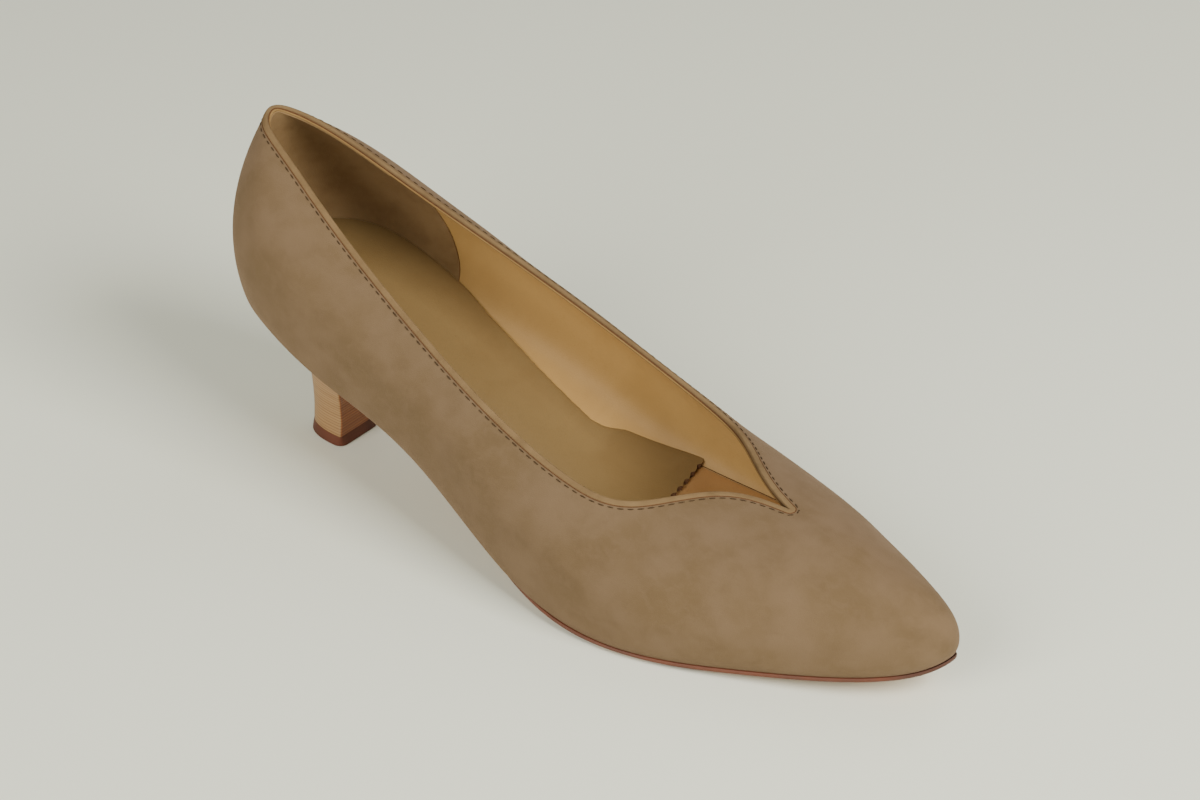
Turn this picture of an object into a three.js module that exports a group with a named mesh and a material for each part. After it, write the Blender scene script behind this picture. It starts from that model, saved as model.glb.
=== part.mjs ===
// Pump shoe, right foot: a suede court shoe on a low waisted heel.
// Millimetres, +X towards the toe, +Y to the inner (medial) side, +Z up, standing on z = 0.
import * as THREE from 'three';
import { mergeVertices } from 'three/addons/utils/BufferGeometryUtils.js';

// Driving sizes of the last
const LENGTH = 250; // back of the heel to the tip of the toe
const BALL_WIDTH = 81; // widest place of the upper
const SEAT_HEIGHT = 46.7; // feather edge above the floor at the back
const TOE_SPRING = 11.5; // rise of the feather edge from the tread to the toe
const BELLY_HEIGHT = 17.4; // height of the fullest line above the feather edge
const COUNTER_RISE = 39.7; // crown of the section above the fullest line, at the back
const INSTEP_RISE = 32.3; // the same at the instep
const BACK_TUCK = 2.7; // how far the back tucks in from the fullest line to the seat
const BACK_LEAN = 10.2; // how far the back leans forward from the fullest line to the top
const TOE_TUCK = 1; // how far the toe tucks in above the sole
const THROAT_AT = 0.782; // point of the V, as a share of the length

// Sizes of the pieces
const WALL = 1.7; // suede, lining and stiffener together
const BINDING_WIDTH = 2.3;
const BINDING_PROUD = 0.25;
const INSOLE = 2.2;
const HEEL_PAD = 4.8; // extra height of the insole under the heel
const SOCK = 1;
const DISH = 0.8; // how far the middle of the footbed lies below its edge
const SOCK_END = 0.6; // front edge of the sock, as a share of the length
const SOCK_BOW = 5; // how far that edge bows forward in the middle
const SOLE = 2.2;
const SOLE_EDGE = 0.6; // how far the forefoot sole stands out from the feather edge
const WAIST_INSET = 2.4; // how far the sole stays inside the feather edge at the waist
const TOP_LIFT = 3.5;
const TIP_LENGTH = 15.6;
const TIP_WIDTH = 16.4;
const TIP_BREAST = 39.4; // front face of the top lift, from the back of the last
const TIP_SHIFT = -2.7; // middle of the top lift, to the outer side
const SEAT_LENGTH = 53; // heel breast under the seat, from the back of the last
const HEEL_INSET = 0.5; // heel's top edge inside the feather edge
const TREAD_FLAT = 0.4; // how much thinner the sole is where its tread lies flat
const HEEL_CORNER = 2.6; // rounding of the heel's front corners in plan
const GAP = 0.3; // between pieces that meet

const TREAD = SOLE + GAP - TREAD_FLAT; // feather edge above the floor at the tread

// Sections of the last, from the heel (0) to the toe (1).
// at: share of the length. latFeather, medFeather, latBelly, medBelly: half widths from the centre
// line, shares of BALL_WIDTH. belly: share of BELLY_HEIGHT. counter, instep: shares of COUNTER_RISE
// and INSTEP_RISE, added. pitch: share of SEAT_HEIGHT above the tread. spring: share of TOE_SPRING.
// lean: crown's sideways shift, share of BALL_WIDTH. round: how soon the wall turns out of the edge.
const SECTIONS = [
  { at: 0.0, latFeather: 0.0, medFeather: 0.0, latBelly: 0.0, medBelly: 0.0, belly: 0.945, counter: 1.0,
    instep: 0.0, pitch: 1.0, spring: 0.0, lean: 0.0, round: 0.1 },
  { at: 0.025, latFeather: 0.194, medFeather: 0.212, latBelly: 0.205, medBelly: 0.224, belly: 0.952,
    counter: 0.925, instep: 0.0, pitch: 1.0, spring: 0.0, lean: 0.0, round: 0.1 },
  { at: 0.095, latFeather: 0.312, medFeather: 0.343, latBelly: 0.335, medBelly: 0.37, belly: 0.955,
    counter: 0.82, instep: 0.0, pitch: 0.957, spring: 0.0, lean: 0.0, round: 0.13 },
  { at: 0.205, latFeather: 0.364, medFeather: 0.335, latBelly: 0.375, medBelly: 0.414, belly: 1.0,
    counter: 0.45, instep: 0.31, pitch: 0.788, spring: 0.0, lean: 0.009, round: 0.44 },
  { at: 0.345, latFeather: 0.366, medFeather: 0.256, latBelly: 0.405, medBelly: 0.438, belly: 1.046,
    counter: 0.12, instep: 0.677, pitch: 0.507, spring: 0.0, lean: 0.017, round: 0.82 },
  { at: 0.5, latFeather: 0.465, medFeather: 0.267, latBelly: 0.48, medBelly: 0.48, belly: 0.914,
    counter: 0.0, instep: 1.0, pitch: 0.13, spring: 0.0, lean: 0.015, round: 0.72 },
  { at: 0.655, latFeather: 0.503, medFeather: 0.358, latBelly: 0.512, medBelly: 0.493, belly: 0.56,
    counter: 0.0, instep: 0.947, pitch: 0.0, spring: 0.0, lean: 0.006, round: 0.33 },
  { at: 0.795, latFeather: 0.373, medFeather: 0.315, latBelly: 0.39, medBelly: 0.384, belly: 0.4,
    counter: 0.0, instep: 0.851, pitch: 0.0, spring: 0.134, lean: -0.01, round: 0.14 },
  { at: 0.905, latFeather: 0.231, medFeather: 0.178, latBelly: 0.242, medBelly: 0.224, belly: 0.316,
    counter: 0.0, instep: 0.654, pitch: 0.0, spring: 0.398, lean: -0.009, round: 0.1 },
  { at: 0.975, latFeather: 0.105, medFeather: 0.079, latBelly: 0.117, medBelly: 0.096, belly: 0.233,
    counter: 0.0, instep: 0.414, pitch: 0.0, spring: 0.711, lean: -0.003, round: 0.1 },
  { at: 1.0, latFeather: 0.0, medFeather: 0.0, latBelly: 0.0, medBelly: 0.0, belly: 0.238, counter: 0.0,
    instep: 0.0, pitch: 0.0, spring: 1.0, lean: 0.0, round: 0.1 },
];

// Top line. at: share of the way from the back to the throat. lat, med: degrees round the section,
// from 0 at the fullest line to 90 at the crown.
const TOP_LINE = [
  { at: 0.0, lat: 69.6, med: 69.6 },
  { at: 0.12, lat: 68.2, med: 69.1 },
  { at: 0.3, lat: 54.0, med: 60.2 },
  { at: 0.48, lat: 43.4, med: 53.0 },
  { at: 0.62, lat: 43.2, med: 49.9 },
  { at: 0.73, lat: 46.7, med: 50.2 },
  { at: 0.82, lat: 56.4, med: 57.0 },
  { at: 0.9, lat: 78.9, med: 73.4 },
  { at: 0.955, lat: 87.2, med: 83.7 },
  { at: 1.0, lat: 90.0, med: 90.0 },
];

// Heel block. up: share of the height from the top lift to the seat. seat: how far the outline has
// grown from the tip's (0) to the seat's (1). breast: the same for the front face. pinch: share of
// the tip's half width that the waist loses.
const HEEL_LEVELS = [
  { up: 0.0, seat: 0.0, breast: 0.0, pinch: 0.0 },
  { up: 0.07, seat: 0.0, breast: -0.01, pinch: 0.05 },
  { up: 0.25, seat: 0.01, breast: -0.02, pinch: 0.12 },
  { up: 0.45, seat: 0.05, breast: 0.02, pinch: 0.1 },
  { up: 0.62, seat: 0.16, breast: 0.14, pinch: 0.04 },
  { up: 0.76, seat: 0.38, breast: 0.36, pinch: 0.0 },
  { up: 0.88, seat: 0.7, breast: 0.66, pinch: 0.0 },
  { up: 1.0, seat: 1.0, breast: 1.0, pinch: 0.0 },
];

// Insole height above its forefoot thickness, share of HEEL_PAD.
const PAD = [
  { at: 0.0, rise: 1.0 },
  { at: 0.15, rise: 0.98 },
  { at: 0.3, rise: 0.32 },
  { at: 0.45, rise: 0.04 },
  { at: 0.6, rise: 0.0 },
  { at: 1.0, rise: 0.0 },
];

const LATERAL = -1;
const MEDIAL = 1;
const CROWN = Math.PI / 2;

// Cubic spline through a table's column; each end is flat or free.
function spline(xs, ys, flatStart, flatEnd) {
  const n = xs.length;
  const span = xs.slice(1).map((x, i) => x - xs[i]);
  const rise = span.map((h, i) => (ys[i + 1] - ys[i]) / h);
  const low = Array(n).fill(0);
  const mid = Array(n).fill(1);
  const high = Array(n).fill(0);
  const rhs = Array(n).fill(0);
  for (let i = 1; i < n - 1; i++) {
    low[i] = span[i - 1];
    mid[i] = 2 * (span[i - 1] + span[i]);
    high[i] = span[i];
    rhs[i] = 6 * (rise[i] - rise[i - 1]);
  }
  if (flatStart) {
    mid[0] = 2 * span[0];
    high[0] = span[0];
    rhs[0] = 6 * rise[0];
  }
  if (flatEnd) {
    mid[n - 1] = 2 * span[n - 2];
    low[n - 1] = span[n - 2];
    rhs[n - 1] = -6 * rise[n - 2];
  }
  for (let i = 1; i < n; i++) {
    const k = low[i] / mid[i - 1];
    mid[i] -= k * high[i - 1];
    rhs[i] -= k * rhs[i - 1];
  }
  const bend = Array(n).fill(0);
  for (let i = n - 1; i >= 0; i--) bend[i] = (rhs[i] - (i < n - 1 ? high[i] * bend[i + 1] : 0)) / mid[i];
  return (x) => {
    let i = 0;
    while (i < n - 2 && x >= xs[i + 1]) i++;
    const h = span[i];
    const t = x - xs[i];
    const r = h - t;
    return (bend[i] * r ** 3 + bend[i + 1] * t ** 3) / (6 * h)
      + (ys[i] / h - (bend[i] * h) / 6) * r + (ys[i + 1] / h - (bend[i + 1] * h) / 6) * t;
  };
}

// The station u runs evenly round a half circle, so both ends of the shoe close smoothly.
const stationOf = (share) => Math.acos(1 - 2 * Math.min(1, Math.max(0, share))) / Math.PI;
const shareOf = (u) => (1 - Math.cos(Math.PI * u)) / 2;

const stations = SECTIONS.map((row) => stationOf(row.at));
const column = (value, flatStart, flatEnd) => spline(stations, SECTIONS.map(value), flatStart, flatEnd);
const halfWidth = {
  feather: {
    [LATERAL]: column((row) => row.latFeather * BALL_WIDTH, false, false),
    [MEDIAL]: column((row) => row.medFeather * BALL_WIDTH, false, false),
  },
  belly: {
    [LATERAL]: column((row) => row.latBelly * BALL_WIDTH, false, false),
    [MEDIAL]: column((row) => row.medBelly * BALL_WIDTH, false, false),
  },
};
const bellyHeight = column((row) => row.belly * BELLY_HEIGHT, true, true);
const crownRise = column((row) => row.counter * COUNTER_RISE + row.instep * INSTEP_RISE, true, false);
const featherHeight = column(
  (row) => TREAD + row.pitch * (SEAT_HEIGHT - TREAD) + row.spring * TOE_SPRING, true, true);
const crownLean = column((row) => row.lean * BALL_WIDTH, true, true);
const edgeRound = column((row) => row.round, true, true);
const padRise = spline(PAD.map((row) => stationOf(row.at)), PAD.map((row) => row.rise * HEEL_PAD), true, true);

// Back and toe profiles fade out along the shoe over these stations.
const BACK_FADE = 0.42;
const TOE_FADE = 0.35;
const fade = (t) => 0.5 * (1 + Math.cos(Math.PI * Math.min(1, t)));

function profileShift(u, h) {
  const belly = bellyHeight(0);
  const back = h < belly ? BACK_TUCK * (1 - h / belly) ** 2 : BACK_LEAN * ((h - belly) / COUNTER_RISE) ** 2;
  const toeBelly = bellyHeight(1);
  const toe = h < toeBelly ? TOE_TUCK * (1 - h / toeBelly) ** 2 : 0;
  return back * fade(u / BACK_FADE) - toe * fade((1 - u) / TOE_FADE);
}

// A point of the outer surface. v runs from -1 at the feather edge through 0 at the fullest line
// to CROWN, an angle, at the top of the section.
function lastPoint(u, side, v) {
  const belly = bellyHeight(u);
  const rise = Math.max(0, crownRise(u));
  const wide = halfWidth.belly[side](u);
  const narrow = halfWidth.feather[side](u);
  let h;
  let y;
  if (v < 0) {
    h = belly * (1 + v) ** (1 + edgeRound(u));
    y = narrow + (wide - narrow) * (1 - v * v);
  } else {
    h = belly + rise * Math.sin(v);
    y = wide * Math.cos(v);
  }
  const lean = crownLean(u) * (h / (belly + rise)) ** 2;
  return new THREE.Vector3(LENGTH * shareOf(u) + profileShift(u, h), side * y + lean, featherHeight(u) + h);
}

// Outward normal, from small steps along the surface; on the centre line it has no sideways part.
const STEP = 1e-4;
function lastNormal(u, side, v) {
  const u0 = Math.max(0, u - STEP);
  const u1 = Math.min(1, u + STEP);
  const onPole = u > 1 - STEP && v > 0;
  const w = onPole ? 0 : v;
  const v0 = Math.max(-1, w - STEP);
  const v1 = onPole ? 0 : Math.min(CROWN, w + STEP);
  const along = lastPoint(u1, side, w).sub(lastPoint(u0, side, w));
  const round = lastPoint(u, side, v1).sub(lastPoint(u, side, v0));
  const normal = along.cross(round).multiplyScalar(side === MEDIAL ? 1 : -1).multiplyScalar(-1);
  if (u < STEP || u > 1 - STEP || v > CROWN - STEP) normal.y = 0;
  return normal.normalize();
}

// Top line and the lines that run beside it at a set distance
const throat = stationOf(THROAT_AT);
const lineStations = TOP_LINE.map((row) => stationOf(row.at * THROAT_AT));
const radians = THREE.MathUtils.degToRad;
const topAngle = {
  [LATERAL]: spline(lineStations, TOP_LINE.map((row) => radians(row.lat)), true, false),
  [MEDIAL]: spline(lineStations, TOP_LINE.map((row) => radians(row.med)), true, false),
};
const topEdge = (u, side) => (u >= throat ? CROWN : Math.min(CROWN, topAngle[side](u)));

const LINE_STEPS = 160;
const topCurve = [LATERAL, MEDIAL].map((side) =>
  Array.from({ length: LINE_STEPS + 1 }, (_, i) => {
    const u = (throat * i) / LINE_STEPS;
    return lastPoint(u, side, topEdge(u, side));
  }));

function distanceToTopLine(point) {
  let best = Infinity;
  const line = new THREE.Line3();
  const near = new THREE.Vector3();
  for (const curve of topCurve) {
    for (let i = 0; i < LINE_STEPS; i++) {
      line.set(curve[i], curve[i + 1]);
      best = Math.min(best, line.closestPointToPoint(point, true, near).distanceTo(point));
    }
  }
  return best;
}

const HALVINGS = 26;
function bisect(low, high, isLow) {
  for (let i = 0; i < HALVINGS; i++) {
    const middle = (low + high) / 2;
    if (isLow(middle)) low = middle;
    else high = middle;
  }
  return (low + high) / 2;
}

// Where a line at this distance below the top line crosses the section at u
function lineBelow(distance) {
  const tip = bisect(throat, 1, (u) => distanceToTopLine(lastPoint(u, LATERAL, CROWN)) < distance);
  const found = new Map();
  const at = (u, side) => {
    if (u >= tip) return CROWN;
    const key = `${u}:${side}`;
    if (!found.has(key)) {
      const clear = (v) => distanceToTopLine(lastPoint(u, side, v)) > distance;
      found.set(key, bisect(0, topEdge(u, side), clear));
    }
    return found.get(key);
  };
  return { at, tip };
}

const bindingFoot = lineBelow(BINDING_WIDTH);
const upperTop = lineBelow(BINDING_WIDTH + GAP);

// Mesh builder: quads and triangles by position, welded into one closed body
const SHORTEST_SIDE = 1e-4;
const WELD = 1e-3;
class Shell {
  constructor() {
    this.positions = [];
  }

  triangle(a, b, c) {
    const shortest = Math.min(a.distanceTo(b), b.distanceTo(c), c.distanceTo(a));
    if (shortest < SHORTEST_SIDE) return;
    for (const p of [a, b, c]) this.positions.push(p.x, p.y, p.z);
  }

  quad(a, b, c, d) {
    this.triangle(a, b, c);
    this.triangle(a, c, d);
  }

  // Strips between rows of points; flip turns the faces over
  grid(rows, flip) {
    for (let i = 0; i < rows.length - 1; i++) {
      for (let j = 0; j < rows[i].length - 1; j++) {
        const [a, b, c, d] = [rows[i][j], rows[i + 1][j], rows[i + 1][j + 1], rows[i][j + 1]];
        if (flip) this.quad(a, d, c, b);
        else this.quad(a, b, c, d);
      }
    }
  }

  geometry() {
    const raw = new THREE.BufferGeometry();
    raw.setAttribute('position', new THREE.Float32BufferAttribute(this.positions, 3));
    const merged = mergeVertices(raw, WELD);
    merged.computeVertexNormals();
    return merged;
  }
}

// A wall that follows the last between two lines. columns: stations. rowsAt(u, side): places v in the
// section, low to high. offsets: outer and inner distance from the surface for each row; rows that meet
// take the lowest one's. openTo: the top edge is open up to this station and joined beyond it.
function wall(columns, rowsAt, offsets, openTo) {
  const shell = new Shell();
  const sheets = {};
  for (const side of [LATERAL, MEDIAL]) {
    const sheet = { rows: columns.map((u) => rowsAt(u, side)) };
    for (const face of ['outer', 'inner']) {
      sheet[face] = columns.map((u, i) => sheet.rows[i].map((v) => {
        const distance = offsets[sheet.rows[i].indexOf(v)][face];
        return lastPoint(u, side, v).addScaledVector(lastNormal(u, side, v), distance);
      }));
    }
    sheets[side] = sheet;
  }
  // The two sides share their points on the centre line.
  const last = offsets.length - 1;
  const share = (a, b) => {
    const middle = a.clone().add(b).multiplyScalar(0.5);
    a.copy(middle);
    b.copy(middle);
  };
  columns.forEach((u, i) => {
    for (const face of ['outer', 'inner']) {
      const [a, b] = [sheets[LATERAL][face][i], sheets[MEDIAL][face][i]];
      const onCentre = sheets[LATERAL].rows[i].map((v) => u === 0 || u === 1 || v === CROWN);
      a.forEach((p, j) => onCentre[j] && share(p, b[j]));
    }
  });
  for (const side of [LATERAL, MEDIAL]) {
    const { outer, inner } = sheets[side];
    shell.grid(outer, side === MEDIAL);
    shell.grid(inner, side !== MEDIAL);
    const foot = columns.map((_, i) => [inner[i][0], outer[i][0]]);
    shell.grid(foot, side === MEDIAL);
    const rim = columns.map((_, i) => [outer[i][last], inner[i][last]]).filter((_, i) => columns[i] <= openTo);
    shell.grid(rim, side === MEDIAL);
  }
  return shell.geometry();
}

// Stations: even from the heel to near the throat, close together round its point, even to the toe
const BACK_COLUMNS = 30;
const TIP_COLUMNS = 5;
const VAMP_COLUMNS = 15;
const NEAR_THROAT = 0.95;
const VAMP_EASE = 1.15; // columns stand a little closer behind the toe than at it
function spaced(from, to, count, ease = (t) => t) {
  return Array.from({ length: count }, (_, i) => from + (to - from) * ease((i + 1) / count));
}
const slowing = (t) => 1 - (1 - t) ** 2;
const beforeThroat = [0, ...spaced(0, throat * NEAR_THROAT, BACK_COLUMNS),
  ...spaced(throat * NEAR_THROAT, throat, TIP_COLUMNS)];
const roundBinding = spaced(throat, bindingFoot.tip, TIP_COLUMNS, slowing);
const upperColumns = [...beforeThroat, ...roundBinding, upperTop.tip,
  ...spaced(upperTop.tip, 1, VAMP_COLUMNS, (t) => t ** VAMP_EASE)];

// Upper: rows are close together where the wall turns out of the feather edge.
const LOWER_ROWS = 3;
const UPPER_ROWS = 7;
const lowerPlaces = spaced(-1, 0, LOWER_ROWS);
function upperRows(u, side) {
  const top = u >= upperTop.tip ? CROWN : upperTop.at(u, side);
  return [-1, ...lowerPlaces, ...spaced(0, top, UPPER_ROWS)];
}
const upperOffsets = Array(1 + LOWER_ROWS + UPPER_ROWS).fill({ outer: 0, inner: -WALL });
const makeUpper = () => wall(upperColumns, upperRows, upperOffsets, upperTop.tip);

// Binding, proud in the middle of its width. up: share of the width; proud: share of BINDING_PROUD
const BINDING_ROWS = [
  { up: 0, proud: 0.4 },
  { up: 0.25, proud: 1 },
  { up: 0.7, proud: 1 },
  { up: 1, proud: 0.2 },
];
const bindingOffsets = BINDING_ROWS.map((row) => ({ outer: row.proud * BINDING_PROUD, inner: -WALL }));
function bindingRows(u, side) {
  const foot = u >= bindingFoot.tip ? CROWN : bindingFoot.at(u, side);
  return BINDING_ROWS.map((row) => foot + (topEdge(u, side) - foot) * row.up);
}
const makeBinding = () => wall([...beforeThroat, ...roundBinding], bindingRows, bindingOffsets, throat);

// Plan of the feather edge, moved outwards by a distance
function outwardInPlan(u, side) {
  if (u === 0 || u === 1) return new THREE.Vector3(u === 0 ? -1 : 1, 0, 0);
  const along = lastPoint(Math.min(1, u + STEP), side, -1).sub(lastPoint(Math.max(0, u - STEP), side, -1));
  return new THREE.Vector3(-along.y, along.x, 0).multiplyScalar(side).normalize();
}

function featherPlan(u, side, out) {
  return lastPoint(u, side, -1).addScaledVector(outwardInPlan(u, side), out);
}

// How far the lining reaches inside the feather edge between two heights over it
const SEARCH_STEPS = 60;
const SEARCH_MARGIN = 0.9;
function liningReach(u, side, from, to) {
  const edge = lastPoint(u, side, -1);
  const outward = outwardInPlan(u, side);
  let reach = -Infinity;
  for (let i = 0; i <= SEARCH_STEPS; i++) {
    const v = -1 + i / SEARCH_STEPS;
    const p = lastPoint(u, side, v).addScaledVector(lastNormal(u, side, v), -WALL);
    const h = p.z - edge.z;
    if (h >= from - SEARCH_MARGIN && h <= to + SEARCH_MARGIN) {
      reach = Math.max(reach, edge.clone().sub(p).dot(outward));
    }
  }
  return from < WALL ? Math.max(reach, 0) : reach;
}

// A flat piece between two outlines. columns: stations; edge(u, side, face): corner of each face, at
// its height; shape(p, u, t, face): moves a point of a row across, t from -1 to 1.
const ACROSS = 4;
function slab(columns, edge, shape = () => {}) {
  const shell = new Shell();
  const [top, under] = ['top', 'under'].map((face) => columns.map((u) => {
    const a = edge(u, LATERAL, face);
    const b = edge(u, MEDIAL, face);
    return Array.from({ length: ACROSS + 1 }, (_, j) => {
      const p = a.clone().lerp(b, j / ACROSS);
      if (u > 0 && u < 1) shape(p, u, (2 * j) / ACROSS - 1, face);
      return p;
    });
  }));
  shell.grid(top, false);
  shell.grid(under, true);
  shell.grid(columns.map((_, i) => [under[i][0], top[i][0]]), false);
  shell.grid(columns.map((_, i) => [top[i][ACROSS], under[i][ACROSS]]), false);
  shell.grid([under[0], top[0]], false);
  shell.grid([top[columns.length - 1], under[columns.length - 1]], false);
  return shell.geometry();
}

// Insole: fills the shoe between the linings at its own height.
const insoleThickness = (u) => INSOLE + padRise(u);
const INSOLE_COLUMNS = 38;
const FACET_MARGIN = 0.3; // the lining's facets stand this far inside its true curve
const LINING_CLEARANCE = GAP + FACET_MARGIN;
function insoleEdge(u, side) {
  const reach = liningReach(u, side, 0, insoleThickness(u));
  return featherPlan(u, side, -reach - LINING_CLEARANCE);
}

// Hollow of the footbed at a point, from the insole's own edges; it fades out at the back.
const DISH_FROM = 0.02;
const DISH_FULL = 0.1;
function dish(p, u) {
  const a = insoleEdge(u, LATERAL).y;
  const b = insoleEdge(u, MEDIAL).y;
  const t = (2 * p.y - a - b) / (b - a);
  return -DISH * THREE.MathUtils.smoothstep(shareOf(u), DISH_FROM, DISH_FULL) * Math.max(0, 1 - t * t);
}

function makeInsole() {
  const columns = [0, ...spaced(0, 1, INSOLE_COLUMNS)];
  const edge = (u, side, face) => {
    const p = insoleEdge(u, side);
    p.z = featherHeight(u) + (face === 'top' ? insoleThickness(u) : 0);
    return p;
  };
  return slab(columns, edge, (p, u, t, face) => {
    if (face === 'top') p.z += dish(p, u);
  });
}

// Sock: lies on the insole out to the lining, with a front edge that bows forward.
const SOCK_COLUMNS = 26;
const BOW_POWER = 8;
function makeSock() {
  const columns = [0, ...spaced(0, stationOf(SOCK_END), SOCK_COLUMNS)];
  const edge = (u, side, face) => {
    const lift = insoleThickness(u) + GAP;
    const reach = liningReach(u, side, lift, lift + SOCK);
    const p = featherPlan(u, side, -reach - LINING_CLEARANCE);
    p.z = featherHeight(u) + lift + (face === 'top' ? SOCK : 0);
    return p;
  };
  return slab(columns, edge, (p, u, t) => {
    const forward = SOCK_BOW * (1 - t * t) * (shareOf(u) / SOCK_END) ** BOW_POWER;
    const ahead = stationOf(shareOf(u) + forward / LENGTH);
    p.x += forward;
    p.z += dish(p, ahead) + featherHeight(ahead) - featherHeight(u);
  });
}

// Outsole: full in the forefoot, narrow at the waist, ends at the heel breast.
const SOLE_COLUMNS = 34;
const WAIST_FROM = 0.42;
const WAIST_TO = 0.66;
function soleReach(u) {
  const t = THREE.MathUtils.smoothstep(shareOf(u), WAIST_FROM, WAIST_TO);
  return THREE.MathUtils.lerp(-WAIST_INSET, SOLE_EDGE, t);
}
function makeOutsole() {
  const start = stationOf((SEAT_LENGTH + 2 * GAP) / LENGTH);
  const columns = [start, ...spaced(start, 1, SOLE_COLUMNS)];
  const edge = (u, side, face) => {
    const p = featherPlan(u, side, soleReach(u));
    const top = featherHeight(u) - GAP;
    p.z = face === 'top' ? top : Math.max(0, top - SOLE);
    return p;
  };
  return slab(columns, edge);
}

// D shaped outlines of the heel, along one side from the back (0) through the start of the front
// corner (CORNER_AT) to the breast (1)
const D_POWER = 2.4;
const CORNER_AT = 0.75;
const alongSide = (t) => Math.cos(Math.min(1, t / CORNER_AT) * CROWN);
const roundCorner = (t) => Math.max(0, (t - CORNER_AT) / (1 - CORNER_AT)) * CROWN;

function tipPoint(t, side, pinch) {
  const back = alongSide(t);
  const turn = roundCorner(t);
  const half = (TIP_WIDTH / 2) * (1 - pinch) * (1 - back ** D_POWER) ** (1 / D_POWER);
  const x = TIP_BREAST - HEEL_CORNER - (TIP_LENGTH - HEEL_CORNER) * back + HEEL_CORNER * Math.sin(turn);
  const y = half - HEEL_CORNER * (1 - Math.cos(turn));
  return new THREE.Vector3(x, TIP_SHIFT + side * y, 0);
}

function seatPoint(t, side) {
  const turn = roundCorner(t);
  const x = (SEAT_LENGTH - HEEL_CORNER) * (1 - alongSide(t)) + HEEL_CORNER * Math.sin(turn);
  return featherPlan(stationOf(x / LENGTH), side, -HEEL_INSET - HEEL_CORNER * (1 - Math.cos(turn)));
}

const HEEL_COLUMNS = 16;
const BREAST_POWER = 3; // the breast's own growth is felt mostly near the front
function makeHeel() {
  const shell = new Shell();
  const foot = TOP_LIFT + GAP;
  const levels = HEEL_LEVELS.map((row) => [LATERAL, MEDIAL].map((side) =>
    [0, ...spaced(0, 1, HEEL_COLUMNS)].map((t) => {
      const low = tipPoint(t, side, row.pinch);
      const high = seatPoint(t, side);
      const p = low.clone().lerp(high, row.seat);
      p.x += (row.breast - row.seat) * (high.x - low.x) * t ** BREAST_POWER;
      const seat = featherHeight(stationOf(high.x / LENGTH)) - GAP;
      p.z = foot + row.up * (seat - foot);
      return p;
    })));
  const sideRows = (k) => levels.map((level) => level[k]);
  shell.grid(sideRows(0), true);
  shell.grid(sideRows(1), false);
  const across = (level) => level[0].map((p, i) => [p, level[1][i]]);
  shell.grid(across(levels[0]), true);
  shell.grid(across(levels[levels.length - 1]), false);
  shell.grid(levels.map((level) => [level[0][HEEL_COLUMNS], level[1][HEEL_COLUMNS]]), true);
  return shell.geometry();
}

function makeTopLift() {
  const outline = new THREE.Shape();
  const places = [0, ...spaced(0, 1, HEEL_COLUMNS)];
  const lateral = places.map((t) => tipPoint(t, LATERAL, 0));
  const medial = places.map((t) => tipPoint(t, MEDIAL, 0)).reverse();
  const loop = [...lateral, ...medial.slice(0, -1)];
  outline.setFromPoints(loop.map((p) => new THREE.Vector2(p.x, p.y)));
  return new THREE.ExtrudeGeometry(outline, { depth: TOP_LIFT, bevelEnabled: false, steps: 1 });
}

const suede = new THREE.MeshStandardMaterial({ color: '#8f7a60', roughness: 0.95, metalness: 0 });
const edging = new THREE.MeshStandardMaterial({ color: '#a08b68', roughness: 0.85, metalness: 0 });
const leatherBoard = new THREE.MeshStandardMaterial({ color: '#b08a5c', roughness: 0.8, metalness: 0 });
const sockLeather = new THREE.MeshStandardMaterial({ color: '#b08c5e', roughness: 0.45, metalness: 0 });
const soleLeather = new THREE.MeshStandardMaterial({ color: '#8a4a24', roughness: 0.5, metalness: 0 });
const stackedLeather = new THREE.MeshStandardMaterial({ color: '#a8845a', roughness: 0.55, metalness: 0 });
const liftRubber = new THREE.MeshStandardMaterial({ color: '#4a2415', roughness: 0.6, metalness: 0 });

function named(name, geometry, material) {
  const mesh = new THREE.Mesh(geometry, material);
  mesh.name = name;
  return mesh;
}

const shoe = new THREE.Group();
shoe.add(
  named('upper', makeUpper(), suede),
  named('topline_binding', makeBinding(), edging),
  named('insole', makeInsole(), leatherBoard),
  named('sock', makeSock(), sockLeather),
  named('outsole', makeOutsole(), soleLeather),
  named('heel', makeHeel(), stackedLeather),
  named('top_lift', makeTopLift(), liftRubber),
);

// The origin is on the floor, below the middle of the shoe's box.
const middle = new THREE.Box3().setFromObject(shoe).getCenter(new THREE.Vector3());
shoe.position.set(-middle.x, -middle.y, 0);

export default shoe;
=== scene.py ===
"""Right pump shoe in taupe suede: the looks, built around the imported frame. Metres, +X to the toe."""

from __future__ import annotations

import logging
import math
from dataclasses import dataclass, field
from enum import Enum
from typing import Callable, NamedTuple, Sequence

import bmesh
import bpy
import numpy as np
from mathutils import Matrix, Vector

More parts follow.
